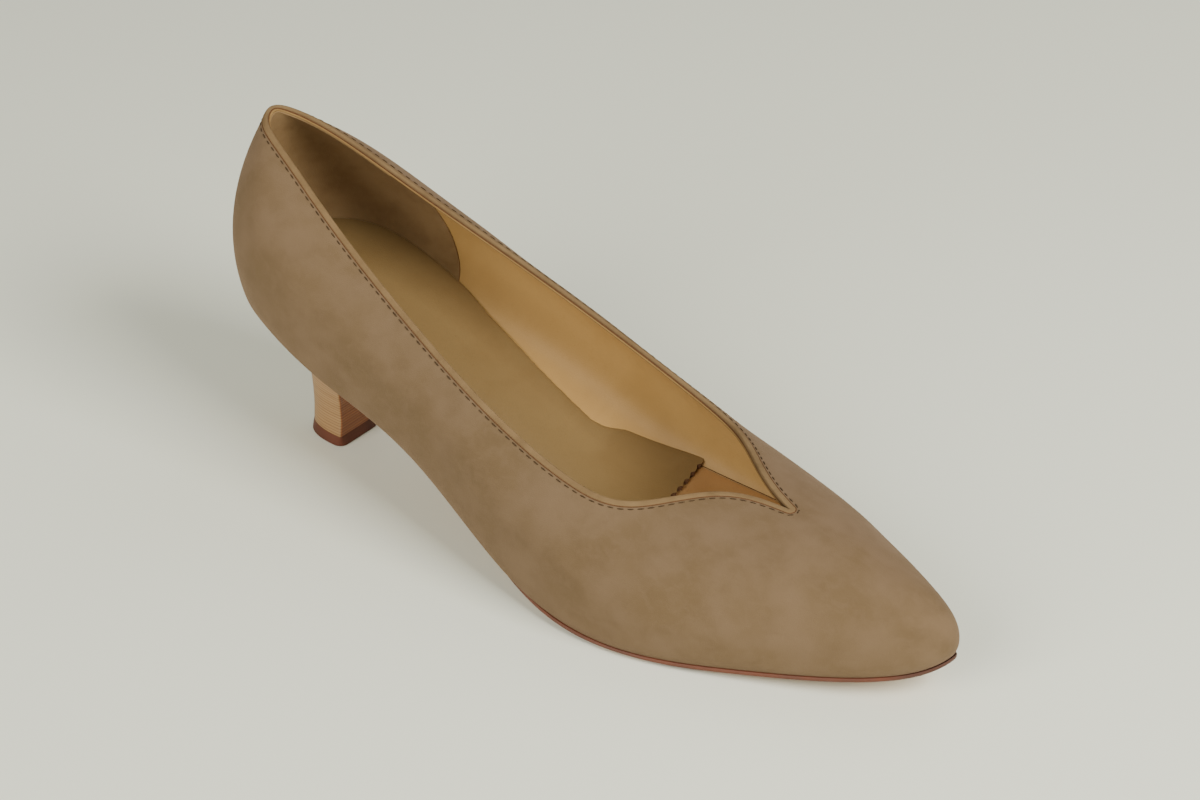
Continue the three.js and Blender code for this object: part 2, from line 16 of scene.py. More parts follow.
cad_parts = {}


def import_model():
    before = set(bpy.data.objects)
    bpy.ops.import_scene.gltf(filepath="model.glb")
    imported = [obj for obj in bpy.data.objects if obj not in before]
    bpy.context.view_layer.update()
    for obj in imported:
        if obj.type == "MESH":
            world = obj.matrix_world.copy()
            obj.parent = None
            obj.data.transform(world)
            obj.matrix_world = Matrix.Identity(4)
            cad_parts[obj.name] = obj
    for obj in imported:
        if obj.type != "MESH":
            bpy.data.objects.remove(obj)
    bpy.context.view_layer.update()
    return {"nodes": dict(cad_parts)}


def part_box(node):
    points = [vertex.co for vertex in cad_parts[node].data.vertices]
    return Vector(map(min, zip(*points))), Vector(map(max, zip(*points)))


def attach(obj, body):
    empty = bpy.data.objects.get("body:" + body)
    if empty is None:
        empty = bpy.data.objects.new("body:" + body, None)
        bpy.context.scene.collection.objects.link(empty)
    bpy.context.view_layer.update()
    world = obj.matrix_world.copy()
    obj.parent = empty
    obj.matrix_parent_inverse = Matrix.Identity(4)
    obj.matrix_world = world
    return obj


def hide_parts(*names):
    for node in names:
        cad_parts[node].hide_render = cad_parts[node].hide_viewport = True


log = logging.getLogger("pump_shoe")

MM = 0.001
WELD = 3e-6
FINE_WELD = 1e-6
TINY = 1e-4
Array = np.ndarray
Colour = tuple[float, float, float]


class Side(Enum):
    """The two sides of a right shoe."""

    LATERAL = -1
    MEDIAL = 1


BOTH_SIDES = (Side.LATERAL, Side.MEDIAL)
CROWN = math.pi / 2


# Curves and tables of the last


class Section(NamedTuple):
    """One section of the last; half widths are shares of the ball width, the rest of named heights."""

    at: float
    lat_feather: float
    med_feather: float
    lat_belly: float
    med_belly: float
    belly: float
    counter: float
    instep: float
    pitch: float
    spring: float
    lean: float
    round: float


SECTIONS = (
    Section(0.0, 0.0, 0.0, 0.0, 0.0, 0.945, 1.0, 0.0, 1.0, 0.0, 0.0, 0.1),
    Section(0.025, 0.194, 0.212, 0.205, 0.224, 0.952, 0.925, 0.0, 1.0, 0.0, 0.0, 0.1),
    Section(0.095, 0.312, 0.343, 0.335, 0.37, 0.955, 0.82, 0.0, 0.957, 0.0, 0.0, 0.13),
    Section(0.205, 0.364, 0.335, 0.375, 0.414, 1.0, 0.45, 0.31, 0.788, 0.0, 0.009, 0.44),
    Section(0.345, 0.366, 0.256, 0.405, 0.438, 1.046, 0.12, 0.677, 0.507, 0.0, 0.017, 0.82),
    Section(0.5, 0.465, 0.267, 0.48, 0.48, 0.914, 0.0, 1.0, 0.13, 0.0, 0.015, 0.72),
    Section(0.655, 0.503, 0.358, 0.512, 0.493, 0.56, 0.0, 0.947, 0.0, 0.0, 0.006, 0.33),
    Section(0.795, 0.373, 0.315, 0.39, 0.384, 0.4, 0.0, 0.851, 0.0, 0.134, -0.01, 0.14),
    Section(0.905, 0.231, 0.178, 0.242, 0.224, 0.316, 0.0, 0.654, 0.0, 0.398, -0.009, 0.1),
    Section(0.975, 0.105, 0.079, 0.117, 0.096, 0.233, 0.0, 0.414, 0.0, 0.711, -0.003, 0.1),
    Section(1.0, 0.0, 0.0, 0.0, 0.0, 0.238, 0.0, 0.0, 0.0, 1.0, 0.0, 0.1),
)


class LineRow(NamedTuple):
    """Top line at a share of the way to the throat, as degrees round the section on each side."""

    at: float
    lat: float
    med: float


TOP_LINE = (
    LineRow(0.0, 69.6, 69.6),
    LineRow(0.12, 68.2, 69.1),
    LineRow(0.3, 54.0, 60.2),
    LineRow(0.48, 43.4, 53.0),
    LineRow(0.62, 43.2, 49.9),
    LineRow(0.73, 46.7, 50.2),
    LineRow(0.82, 56.4, 57.0),
    LineRow(0.9, 78.9, 73.4),
    LineRow(0.955, 87.2, 83.7),
    LineRow(1.0, 90.0, 90.0),
)


class PadRow(NamedTuple):
    """Rise of the footbed over the insole board, as a share of the heel pad."""

    at: float
    rise: float


PAD = (
    PadRow(0.0, 1.0),
    PadRow(0.15, 0.98),
    PadRow(0.3, 0.32),
    PadRow(0.45, 0.04),
    PadRow(0.6, 0.0),
    PadRow(1.0, 0.0),
)


class HeelLevel(NamedTuple):
    """One level of the heel block, from the top lift (0) to the seat (1)."""

    up: float
    seat: float
    breast: float
    pinch: float


HEEL_LEVELS = (
    HeelLevel(0.0, 0.0, 0.0, 0.0),
    HeelLevel(0.07, 0.0, -0.01, 0.05),
    HeelLevel(0.25, 0.01, -0.02, 0.12),
    HeelLevel(0.45, 0.05, 0.02, 0.1),
    HeelLevel(0.62, 0.16, 0.14, 0.04),
    HeelLevel(0.76, 0.38, 0.36, 0.0),
    HeelLevel(0.88, 0.7, 0.66, 0.0),
    HeelLevel(1.0, 1.0, 1.0, 0.0),
)


class Spline:
    """Cubic curve through a table's column, with each end flat or free."""

    def __init__(self, xs: Sequence[float], ys: Sequence[float], flat_start: bool, flat_end: bool) -> None:
        """Solves the curve's bends.

        Args:
            xs: Places of the rows, rising.
            ys: Values at those places.
            flat_start: Whether the curve starts level.
            flat_end: Whether it ends level.
        """
        self.xs = np.asarray(xs, float)
        self.ys = np.asarray(ys, float)
        count = len(self.xs)
        self.span = np.diff(self.xs)
        rise = np.diff(self.ys) / self.span
        system = np.eye(count)
        right = np.zeros(count)
        for i in range(1, count - 1):
            system[i, i - 1 : i + 2] = self.span[i - 1], 2 * (self.span[i - 1] + self.span[i]), self.span[i]
            right[i] = 6 * (rise[i] - rise[i - 1])
        if flat_start:
            system[0, :2] = 2 * self.span[0], self.span[0]
            right[0] = 6 * rise[0]
        if flat_end:
            system[-1, -2:] = self.span[-1], 2 * self.span[-1]
            right[-1] = -6 * rise[-1]
        self.bend = np.linalg.solve(system, right)

    def __call__(self, x: Array | float) -> Array:
        """The curve's values.

        Args:
            x: Places along the curve.

        Returns:
            Values at those places.
        """
        x = np.asarray(x, float)
        i = np.clip(np.searchsorted(self.xs, x, side="right") - 1, 0, len(self.span) - 1)
        h = self.span[i]
        t = x - self.xs[i]
        r = h - t
        cubic = (self.bend[i] * r**3 + self.bend[i + 1] * t**3) / (6 * h)
        before = (self.ys[i] / h - self.bend[i] * h / 6) * r
        after = (self.ys[i + 1] / h - self.bend[i + 1] * h / 6) * t
        return cubic + before + after


def station_of(share: Array | float) -> Array:
    """Station of a share of the length; stations run evenly round a half circle."""
    return np.arccos(1 - 2 * np.clip(share, 0, 1)) / math.pi


def share_of(station: Array | float) -> Array:
    """Share of the length at a station."""
    return (1 - np.cos(math.pi * np.asarray(station, float))) / 2


def smoothstep(value: Array | float, low: float, high: float) -> Array:
    """Soft step from 0 at low to 1 at high."""
    t = np.clip((np.asarray(value, float) - low) / (high - low), 0, 1)
    return t * t * (3 - 2 * t)


def unit(vectors: Array) -> Array:
    """Vectors brought to length 1; a zero vector stays zero."""
    size = np.linalg.norm(vectors, axis=-1, keepdims=True)
    return vectors / np.maximum(size, 1e-15)


@dataclass
class Last:
    """Outer form of the shoe, from the feather edge to the crown."""

    length: float = 250 * MM
    ball_width: float = 81 * MM
    seat_height: float = 46.7 * MM
    tread: float = 2.1 * MM
    toe_spring: float = 11.5 * MM
    belly_height: float = 17.4 * MM
    counter_rise: float = 39.7 * MM
    instep_rise: float = 32.3 * MM
    back_tuck: float = 2.7 * MM
    back_lean: float = 10.2 * MM
    toe_tuck: float = 1 * MM
    back_fade: float = 0.42
    toe_fade: float = 0.35
    place: Array = field(default_factory=lambda: np.zeros(3))
    step: float = TINY

    def __post_init__(self) -> None:
        """Makes the curves of the table's columns."""
        stations = [float(station_of(row.at)) for row in SECTIONS]

        def column(value: Callable[[Section], float], flat_start: bool, flat_end: bool) -> Spline:
            """Curve of one column."""
            return Spline(stations, [value(row) for row in SECTIONS], flat_start, flat_end)

        width = self.ball_width
        self.feather = {
            Side.LATERAL: column(lambda row: row.lat_feather * width, False, False),
            Side.MEDIAL: column(lambda row: row.med_feather * width, False, False),
        }
        self.belly = {
            Side.LATERAL: column(lambda row: row.lat_belly * width, False, False),
            Side.MEDIAL: column(lambda row: row.med_belly * width, False, False),
        }
        self.belly_rise = column(lambda row: row.belly * self.belly_height, True, True)
        self.crown_rise = column(
            lambda row: row.counter * self.counter_rise + row.instep * self.instep_rise, True, False
        )
        pitch = self.seat_height - self.tread
        self.feather_height = column(
            lambda row: self.tread + row.pitch * pitch + row.spring * self.toe_spring, True, True
        )
        self.crown_lean = column(lambda row: row.lean * width, True, True)
        self.edge_round = column(lambda row: row.round, True, True)

    def profile_shift(self, u: Array, h: Array) -> Array:
        """Lean and tuck of the back and toe along the length.

        Args:
            u: Stations.
            h: Heights over the feather edge.

        Returns:
            Shifts along X.
        """
        belly = float(self.belly_rise(0.0))
        low = self.back_tuck * (1 - h / belly) ** 2
        high = self.back_lean * ((h - belly) / self.counter_rise) ** 2
        back = np.where(h < belly, low, high)
        toe_belly = float(self.belly_rise(1.0))
        toe = np.where(h < toe_belly, self.toe_tuck * (1 - h / toe_belly) ** 2, 0)
        fade_back = 0.5 * (1 + np.cos(math.pi * np.minimum(1, u / self.back_fade)))
        fade_toe = 0.5 * (1 + np.cos(math.pi * np.minimum(1, (1 - u) / self.toe_fade)))
        return back * fade_back - toe * fade_toe

    def point(self, u: Array, side: Side, v: Array) -> Array:
        """Points of the outer surface.

        Args:
            u: Stations, 0 at the heel and 1 at the toe.
            side: Which side of the shoe.
            v: Places in the section: -1 feather edge, 0 fullest line, CROWN top, more past the middle.

        Returns:
            Points in the row frame, one for each pair of u and v.
        """
        u, v = np.broadcast_arrays(np.asarray(u, float), np.asarray(v, float))
        belly = self.belly_rise(u)
        rise = np.maximum(self.crown_rise(u), 0)
        wide = self.belly[side](u)
        narrow = self.feather[side](u)
        low = np.clip(1 + v, 0, None)
        below = v < 0
        h = np.where(below, belly * low ** (1 + self.edge_round(u)), belly + rise * np.sin(np.maximum(v, 0)))
        y = np.where(below, narrow + (wide - narrow) * (1 - v * v), wide * np.cos(v))
        lean = self.crown_lean(u) * (h / (belly + rise)) ** 2
        x = self.length * share_of(u) + self.profile_shift(u, h)
        return np.stack([x, side.value * y + lean, self.feather_height(u) + h], axis=-1) + self.place

    def normal(self, u: Array, side: Side, v: Array) -> Array:
        """Outward normals of the surface.

        Args:
            u: Stations.
            side: Which side of the shoe.
            v: Places in the section.

        Returns:
            Unit vectors, with no sideways part on the centre line.
        """
        u, v = np.broadcast_arrays(np.asarray(u, float), np.asarray(v, float))
        pole = (u > 1 - self.step) & (v > 0)
        w = np.where(pole, 0.0, v)
        ahead = self.point(np.minimum(1, u + self.step), side, w)
        along = ahead - self.point(np.maximum(0, u - self.step), side, w)
        w_low = np.maximum(-1, w - self.step)
        w_high = np.where(pole, 0.0, w + self.step)
        around = self.point(u, side, w_high) - self.point(u, side, w_low)
        normal = np.cross(along, around) * -side.value
        centre = (u < self.step) | (u > 1 - self.step) | (np.abs(v - CROWN) < self.step)
        normal[..., 1] = np.where(centre, 0, normal[..., 1])
        return unit(normal)

    def lifted(self, u: Array, side: Side, v: Array, distance: Array | float) -> Array:
        """Points at a distance outside the surface, or inside it where the distance is negative."""
        distance = np.asarray(distance, float)[..., None]
        return self.point(u, side, v) + self.normal(u, side, v) * distance

    def outward(self, u: Array, side: Side) -> Array:
        """Level directions out of the feather edge.

        Args:
            u: Stations.
            side: Which side of the shoe.

        Returns:
            Unit vectors with no height.
        """
        u = np.asarray(u, float)
        ahead = self.point(np.minimum(1, u + self.step), side, -1.0)
        along = ahead - self.point(np.maximum(0, u - self.step), side, -1.0)
        out = np.stack([-along[..., 1], along[..., 0], np.zeros_like(u)], axis=-1) * side.value
        end = np.where(u < 0.5, -1.0, 1.0)
        tip = np.stack([end, np.zeros_like(u), np.zeros_like(u)], axis=-1)
        at_end = (u < self.step) | (u > 1 - self.step)
        return np.where(at_end[..., None], tip, unit(out))

    def feather_plan(self, u: Array, side: Side, out: Array | float) -> Array:
        """Feather edge moved outwards in plan by a distance."""
        out = np.asarray(out, float)[..., None]
        return self.point(u, side, -1.0) + self.outward(u, side) * out

    def lining_reach(self, u: Array, side: Side, low: Array, high: Array, wall: float) -> Array:
        """How far the lining stands inside the feather edge between two heights over it.

        Args:
            u: Stations.
            side: Which side of the shoe.
            low: Lower heights over the feather edge.
            high: Upper heights.
            wall: Thickness from the outer surface to the lining's face.

        Returns:
            Largest reach at each station.
        """
        edge = self.point(u, side, -1.0)
        out = self.outward(u, side)
        reach = np.full(np.shape(u), -1.0)
        for v in np.linspace(-1, 0, 80):
            p = self.lifted(u, side, np.full(np.shape(u), v), -wall)
            h = p[..., 2] - edge[..., 2]
            inside = np.sum((edge - p) * out, axis=-1)
            near = (h >= low - 0.4 * MM) & (h <= high + 0.4 * MM)
            reach = np.where(near, np.maximum(reach, inside), reach)
        return np.where(reach < -0.5, wall, reach)


class Loop(NamedTuple):
    """Points of the top line round the collar, with the way down the surface at each."""

    u: Array
    side: Array
    v: Array
    down: Array


@dataclass
class TopLine:
    """Edge of the collar, which closes in a small V at the throat."""

    last: Last
    throat_at: float = 0.782
    steps: int = 300
    fan: int = 22

    def __post_init__(self) -> None:
        """Makes the curves of both sides."""
        self.throat = float(station_of(self.throat_at))
        stations = [float(station_of(row.at * self.throat_at)) for row in TOP_LINE]
        self.angle = {
            Side.LATERAL: Spline(stations, [math.radians(row.lat) for row in TOP_LINE], True, False),
            Side.MEDIAL: Spline(stations, [math.radians(row.med) for row in TOP_LINE], True, False),
        }

    def edge(self, u: Array, side: Side) -> Array:
        """Place of the top line in the sections at these stations."""
        angle = self.angle[side](np.minimum(u, self.throat))
        return np.where(np.asarray(u) >= self.throat, CROWN, np.minimum(CROWN, angle))

    def loop(self) -> Loop:
        """Follows the top line from the back along the outer side, round the throat's point and back.

        Returns:
            The loop's stations, sides, places and directions down the surface.
        """
        halves = []
        for side in BOTH_SIDES:
            u = np.linspace(0, self.throat, self.steps + 1)
            v = self.edge(u, side)
            points = self.last.point(u, side, v)
            tangent = np.gradient(points, axis=0)
            if side is Side.MEDIAL:
                tangent = -tangent
            down = np.cross(tangent, self.last.normal(u, side, v))
            down[0, 1] = 0
            halves.append((u, v, unit(down)))
        (u_lat, v_lat, down_lat), (u_med, v_med, down_med) = halves
        start = math.atan2(down_lat[-1, 1], down_lat[-1, 0])
        end = math.atan2(down_med[-1, 1], down_med[-1, 0])
        slope = 0.5 * (down_lat[-1, 2] + down_med[-1, 2])
        turns = np.linspace(start, end, self.fan + 2)[1:-1]
        fan_down = unit(np.stack([np.cos(turns), np.sin(turns), np.full_like(turns, slope)], axis=-1))
        fan_side = np.where(turns < 0.5 * (start + end), Side.LATERAL.value, Side.MEDIAL.value)
        u = np.concatenate([u_lat, np.full(self.fan, self.throat), u_med[:0:-1]])
        v = np.concatenate([v_lat, np.full(self.fan, CROWN), v_med[:0:-1]])
        sides = np.concatenate([np.full(len(u_lat), -1), fan_side, np.full(len(u_med) - 1, 1)])
        down = np.concatenate([down_lat, fan_down, down_med[:0:-1]])
        return Loop(u, sides, v, down)

    def beside(self, loop: Loop, down: float, out: float) -> Array:
        """A line that runs beside the top line.

        Args:
            loop: The top line.
            down: Distance down the surface from it.
            out: Distance outside the surface, negative inside.

        Returns:
            Points of the line, one for each point of the loop.
        """
        points = np.zeros((len(loop.u), 3))
        for side in BOTH_SIDES:
            mine = loop.side == side.value
            u, v = loop.u[mine], loop.v[mine]
            base = self.last.point(u, side, v)
            to_u = (self.last.point(np.minimum(1, u + TINY), side, v) - base) / TINY
            to_v = (self.last.point(u, side, v - TINY) - base) / -TINY
            move = loop.down[mine] * down
            uu, uv, vv = np.sum(to_u**2, -1), np.sum(to_u * to_v, -1), np.sum(to_v**2, -1)
            mu, mv = np.sum(move * to_u, -1), np.sum(move * to_v, -1)
            spread = uu * vv - uv**2
            du = (mu * vv - mv * uv) / spread
            dv = (mv * uu - mu * uv) / spread
            points[mine] = self.last.lifted(np.clip(u + du, 0, 1), side, v + dv, np.full(len(u), out))
        return points


# Mesh making


class Surface:
    """Collects grids of points and turns them into one mesh object."""

    def __init__(self) -> None:
        """Starts empty."""
        self.points: list[Array] = []
        self.faces: list[tuple[int, ...]] = []
        self.count = 0

    def grid(self, rows: Array, flip: bool = False, closed: bool = False) -> None:
        """Adds the faces between rows of points.

        Args:
            rows: Points, as rows by columns by 3.
            flip: Whether the faces are turned over.
            closed: Whether the last row joins the first.
        """
        height, width = rows.shape[:2]
        start = self.count
        self.points.append(rows.reshape(-1, 3))
        self.count += height * width
        for i in range(height if closed else height - 1):
            below = start + i * width
            above = start + ((i + 1) % height) * width
            for j in range(width - 1):
                face = (below + j, above + j, above + j + 1, below + j + 1)
                self.faces.append(face[::-1] if flip else face)

    def build(self, name: str, merge: float = WELD, angle: float = 60) -> bpy.types.Object:
        """Makes the object, with doubles merged and faces smooth up to an angle.

        Args:
            name: The piece's name.
            merge: Distance under which points are joined.
            angle: Largest turn, in degrees, that is shaded as a round.

        Returns:
            The object, at the origin.
        """
        mesh = bpy.data.meshes.new(name)
        mesh.from_pydata(np.concatenate(self.points).tolist(), [], self.faces)
        shape = bmesh.new()
        shape.from_mesh(mesh)
        bmesh.ops.remove_doubles(shape, verts=shape.verts, dist=merge)
        bmesh.ops.dissolve_degenerate(shape, dist=merge, edges=shape.edges)
        bmesh.ops.recalc_face_normals(shape, faces=shape.faces)
        shape.to_mesh(mesh)
        shape.free()
        mesh.shade_smooth()
        mesh.set_sharp_from_angle(angle=math.radians(angle))
        piece = bpy.data.objects.new(name, mesh)
        bpy.context.scene.collection.objects.link(piece)
        return piece


def squared_ring(count: int, power: float) -> Array:
    """Closed outline between a circle and a square.

    Args:
        count: Number of points.
        power: 2 for a circle, more for squarer corners.

    Returns:
        Points within -1 and 1 both ways.
    """
    turn = np.linspace(0, 2 * math.pi, count, endpoint=False)
    across = np.sign(np.cos(turn)) * np.abs(np.cos(turn)) ** (2 / power)
    along = np.sign(np.sin(turn)) * np.abs(np.sin(turn)) ** (2 / power)
    return np.stack([across, along], axis=-1)


# Shader making


def srgb(red: int, green: int, blue: int) -> Colour:
    """A colour of the screen as the linear values that a shader takes.

    Args:
        red: Red, 0 to 255.
        green: Green.
        blue: Blue.

    Returns:
        The linear colour.
    """

    def linear(value: int) -> float:
        """One channel."""
        share = value / 255
        return share / 12.92 if share <= 0.04045 else ((share + 0.055) / 1.055) ** 2.4

    return linear(red), linear(green), linear(blue)


class Wire:
    """A shader socket that carries a value, with the arithmetic of one."""

    def __init__(self, sheet: "Sheet", socket: bpy.types.NodeSocket) -> None:
        """Wraps a socket of the sheet's tree."""
        self.sheet = sheet
        self.socket = socket

    def _math(self, operation: str, first: "Wire | float", second: "Wire | float") -> "Wire":
        """One Math node on two values."""
        node = self.sheet.add("ShaderNodeMath", {"operation": operation}, {0: first, 1: second})
        return Wire(self.sheet, node.outputs[0])

    def __add__(self, other: "Wire | float") -> "Wire":
        """Sum."""
        return self._math("ADD", self, other)

    __radd__ = __add__

    def __mul__(self, other: "Wire | float") -> "Wire":
        """Product."""
        return self._math("MULTIPLY", self, other)

    __rmul__ = __mul__

    def __sub__(self, other: "Wire | float") -> "Wire":
        """Difference."""
        return self._math("SUBTRACT", self, other)

    def __rsub__(self, other: float) -> "Wire":
        """Difference from a number."""
        return self._math("SUBTRACT", other, self)

    def sine(self) -> "Wire":
        """Sine of the value, in radians."""
        return self._math("SINE", self, 0.0)

    def clamp(self, low: float = 0.0, high: float = 1.0) -> "Wire":
        """The value kept between two limits."""
        node = self.sheet.add("ShaderNodeClamp", {}, {"Value": self, "Min": low, "Max": high})
        return Wire(self.sheet, node.outputs[0])

    def step(self, low: float, high: float) -> "Wire":
        """Soft step from 0 to 1.

        Args:
            low: Value at which it starts.
            high: Value at which it ends.

        Returns:
            The step.
        """
        settings = {"interpolation_type": "SMOOTHSTEP"}
        sockets = {"Value": self, "From Min": low, "From Max": high, "To Min": 0.0, "To Max": 1.0}
        node = self.sheet.add("ShaderNodeMapRange", settings, sockets)
        return Wire(self.sheet, node.outputs[0])


class Sheet:
    """A material's node tree."""

    def __init__(self, name: str) -> None:
        """Starts a material with a Principled shader and Object coordinates.

        Args:
            name: The material's name.
        """
        self.material = bpy.data.materials.new(name)
        self.material.use_nodes = True
        self.tree = self.material.node_tree
        self.tree.nodes.clear()
        self.output = self.add("ShaderNodeOutputMaterial", {}, {})
        self.shader = self.add("ShaderNodeBsdfPrincipled", {}, {})
        self.tree.links.new(self.shader.outputs[0], self.output.inputs["Surface"])
        self.place = Wire(self, self.add("ShaderNodeTexCoord", {}, {}).outputs["Object"])

    def add(self, kind: str, settings: dict[str, object], sockets: dict[str | int, object]) -> bpy.types.Node:
        """Adds a node.

        Args:
            kind: The node's type.
            settings: Properties to set first.
            sockets: Values or wires for its inputs, by name or number.

        Returns:
            The node.
        """
        node = self.tree.nodes.new(kind)
        for key, value in settings.items():
            setattr(node, key, value)
        for key, value in sockets.items():
            socket = node.inputs[key]
            if isinstance(value, Wire):
                self.tree.links.new(value.socket, socket)
            elif isinstance(value, tuple) and socket.type == "RGBA":
                socket.default_value = (*value, 1.0)
            else:
                socket.default_value = value
        return node

    def scaled(self, x: float, y: float, z: float) -> Wire:
        """Object coordinates multiplied for each axis."""
        node = self.add("ShaderNodeMapping", {}, {"Vector": self.place, "Scale": (x, y, z)})
        return Wire(self, node.outputs[0])

    def noise(
        self, where: Wire, scale: float, detail: float = 2.0, rough: float = 0.5, twist: float = 0.0
    ) -> Wire:
        """Value of a noise pattern.

        Args:
            where: Coordinates.
            scale: Features for each unit of them.
            detail: Layers of finer noise.
            rough: Weight of the finer layers.
            twist: How far the pattern is distorted.

        Returns:
            The value, near 0.5 on average.
        """
        sockets = {"Vector": where, "Scale": scale, "Detail": detail, "Roughness": rough, "Distortion": twist}
        return Wire(self, self.add("ShaderNodeTexNoise", {}, sockets).outputs[0])

    def cells(self, where: Wire, scale: float) -> Wire:
        """Distance to the nearest edge of a pattern of cells."""
        settings = {"feature": "DISTANCE_TO_EDGE"}
        node = self.add("ShaderNodeTexVoronoi", settings, {"Vector": where, "Scale": scale})
        return Wire(self, node.outputs["Distance"])

    def mix(
        self, share: Wire | float, first: Wire | Colour, second: Wire | Colour, blend: str = "MIX"
    ) -> Wire:
        """Mix of two colours.

        Args:
            share: Share of the second.
            first: First colour.
            second: Second colour.
            blend: The Mix node's blend type.

        Returns:
            The mixed colour.
        """
        settings = {"data_type": "RGBA", "blend_type": blend}
        node = self.add("ShaderNodeMix", settings, {0: share, 6: first, 7: second})
        return Wire(self, node.outputs[2])

    def axis(self, name: str) -> Wire:
        """One of the Object coordinates, in metres."""
        node = self.add("ShaderNodeSeparateXYZ", {}, {0: self.place})
        return Wire(self, node.outputs[name])

    def bump(self, height: Wire, depth: float, strength: float) -> Wire:
        """Normal bent by a height pattern.

        Args:
            height: The pattern, 0 to 1.
            depth: Real height of 1, in metres.
            strength: Share of the effect.

        Returns:
            The bent normal.
        """
        sockets = {"Height": height, "Distance": depth, "Strength": strength}
        return Wire(self, self.add("ShaderNodeBump", {}, sockets).outputs[0])

    def finish(self, colour: Wire, rough: Wire, normal: Wire | None, **fixed: object) -> None:
        """Connects the shader.

        Args:
            colour: Base colour.
            rough: Roughness.
            normal: Bent normal, or None.
            fixed: Values the same all over, by socket name with _ for a space.
        """
        for key, wire in (("Base Color", colour), ("Roughness", rough), ("Normal", normal)):
            if wire is not None:
                self.tree.links.new(wire.socket, self.shader.inputs[key])
        for key, value in fixed.items():
            socket = self.shader.inputs[key.replace("_", " ")]
            socket.default_value = (*value, 1.0) if isinstance(value, tuple) else value


@dataclass(frozen=True)
class Suede:
    """Brushed suede: a fine nap with soft pale and dark patches where it lies one way or the other."""

    name: str
    base: Colour
    pale: Colour
    deep: Colour
    patch: float = 28 * MM
    nap: float = 0.45 * MM
    nap_depth: float = 0.14 * MM
    sheen: float = 0.15
    bloom: Colour = srgb(150, 124, 100)

    def material(self) -> bpy.types.Material:
        """Builds the material.

        Returns:
            The material.
        """
        sheet = Sheet(self.name)
        wide = sheet.noise(sheet.scaled(1.0, 1.3, 1.0), 1 / self.patch, 2.0, 0.5, 0.25)
        dark = sheet.noise(sheet.scaled(1.2, 1.0, 1.5), 1.7 / self.patch, 2.0, 0.5, 0.3)
        small = sheet.noise(sheet.scaled(1.0, 1.6, 1.2), 4.5 / self.patch, 3.0, 0.6, 0.4)
        fine = sheet.noise(sheet.place, 1 / (3.0 * self.nap), 3.0, 0.65)
        hair = sheet.noise(sheet.scaled(1.0, 2.4, 2.4), 1 / self.nap, 2.0, 0.6)
        tone = sheet.mix(wide.step(0.32, 0.72), self.base, self.pale)
        tone = sheet.mix(dark.step(0.4, 0.85) * 0.55, tone, self.deep)
        tone = sheet.mix(small.step(0.38, 0.74) * 0.45, tone, self.pale)
        tone = sheet.mix(fine.step(0.45, 0.8) * 0.22, tone, self.pale)
        tone = sheet.mix((1 - hair).step(0.45, 0.85) * 0.22, tone, self.deep)
        normal = sheet.bump(hair * 0.6 + fine * 0.4, self.nap_depth, 0.8)
        sheet.finish(
            tone,
            0.86 + fine * 0.12,
            normal,
            Sheen_Weight=self.sheen,
            Sheen_Roughness=0.45,
            Sheen_Tint=self.bloom,
            Specular_IOR_Level=0.2,
        )
        return sheet.material


@dataclass(frozen=True)
class SmoothLeather:
    """Finished leather with a fine closed grain and a soft gloss."""

    name: str
    base: Colour
    deep: Colour
    gloss: float = 0.42
    grain: float = 0.7 * MM
    grain_depth: float = 0.03 * MM
    cloud: float = 22 * MM
    coat: float = 0.12
    shine: float = 0.5

    def material(self) -> bpy.types.Material:
        """Builds the material.

        Returns:
            The material.
        """
        sheet = Sheet(self.name)
        cloud = sheet.noise(sheet.place, 1 / self.cloud, 3.0, 0.55, 0.4)
        mottle = sheet.noise(sheet.place, 1 / (4 * self.grain), 2.0, 0.6)
        grain = sheet.cells(sheet.place, 1 / self.grain)
        pore = sheet.noise(sheet.place, 2.2 / self.grain, 1.0)
        tone = sheet.mix(cloud.step(0.4, 0.75) * 0.5, self.base, self.deep)
        tone = sheet.mix(mottle.step(0.5, 0.8) * 0.18, tone, self.deep)
        tone = sheet.mix((0.06 - grain).step(0.0, 0.05) * 0.25, tone, self.deep)
        height = grain.step(0.0, 0.16) * 0.7 + pore * 0.3
        normal = sheet.bump(height, self.grain_depth, 0.6)
        sheet.finish(
            tone,
            self.gloss + mottle * 0.1 - 0.05,
            normal,
            Coat_Weight=self.coat,
            Coat_Roughness=0.3,
            Specular_IOR_Level=self.shine,
        )
        return sheet.material


@dataclass(frozen=True)
class StackedLeather:
    """Heel of thin leather layers, which show as fine level lines."""

    name: str
    base: Colour
    line: Colour
    layer: float

    def material(self) -> bpy.types.Material:
        """Builds the material.

        Returns:
            The material.
        """
        sheet = Sheet(self.name)
        wobble = sheet.noise(sheet.place, 140.0, 2.0) * (0.25 * self.layer)
        wave = ((sheet.axis("Z") + wobble) * (2 * math.pi / self.layer)).sine() * 0.5 + 0.5
        layers = sheet.noise(sheet.scaled(20.0, 20.0, 1 / self.layer), 1.0, 1.0)
        fibre = sheet.noise(sheet.scaled(300.0, 300.0, 2500.0), 1.0, 2.0)
        tone = sheet.mix(layers.step(0.35, 0.7) * 0.5, self.base, self.line)
        tone = sheet.mix((1 - wave).step(0.72, 0.97) * 0.5, tone, self.line, "MULTIPLY")
        tone = sheet.mix(fibre.step(0.45, 0.8) * 0.2, tone, self.line)
        normal = sheet.bump(wave.step(0.0, 0.4), 0.06 * MM, 0.7)
        sheet.finish(tone, 0.42 + fibre * 0.12, normal, Coat_Weight=0.2, Coat_Roughness=0.25)
        return sheet.material


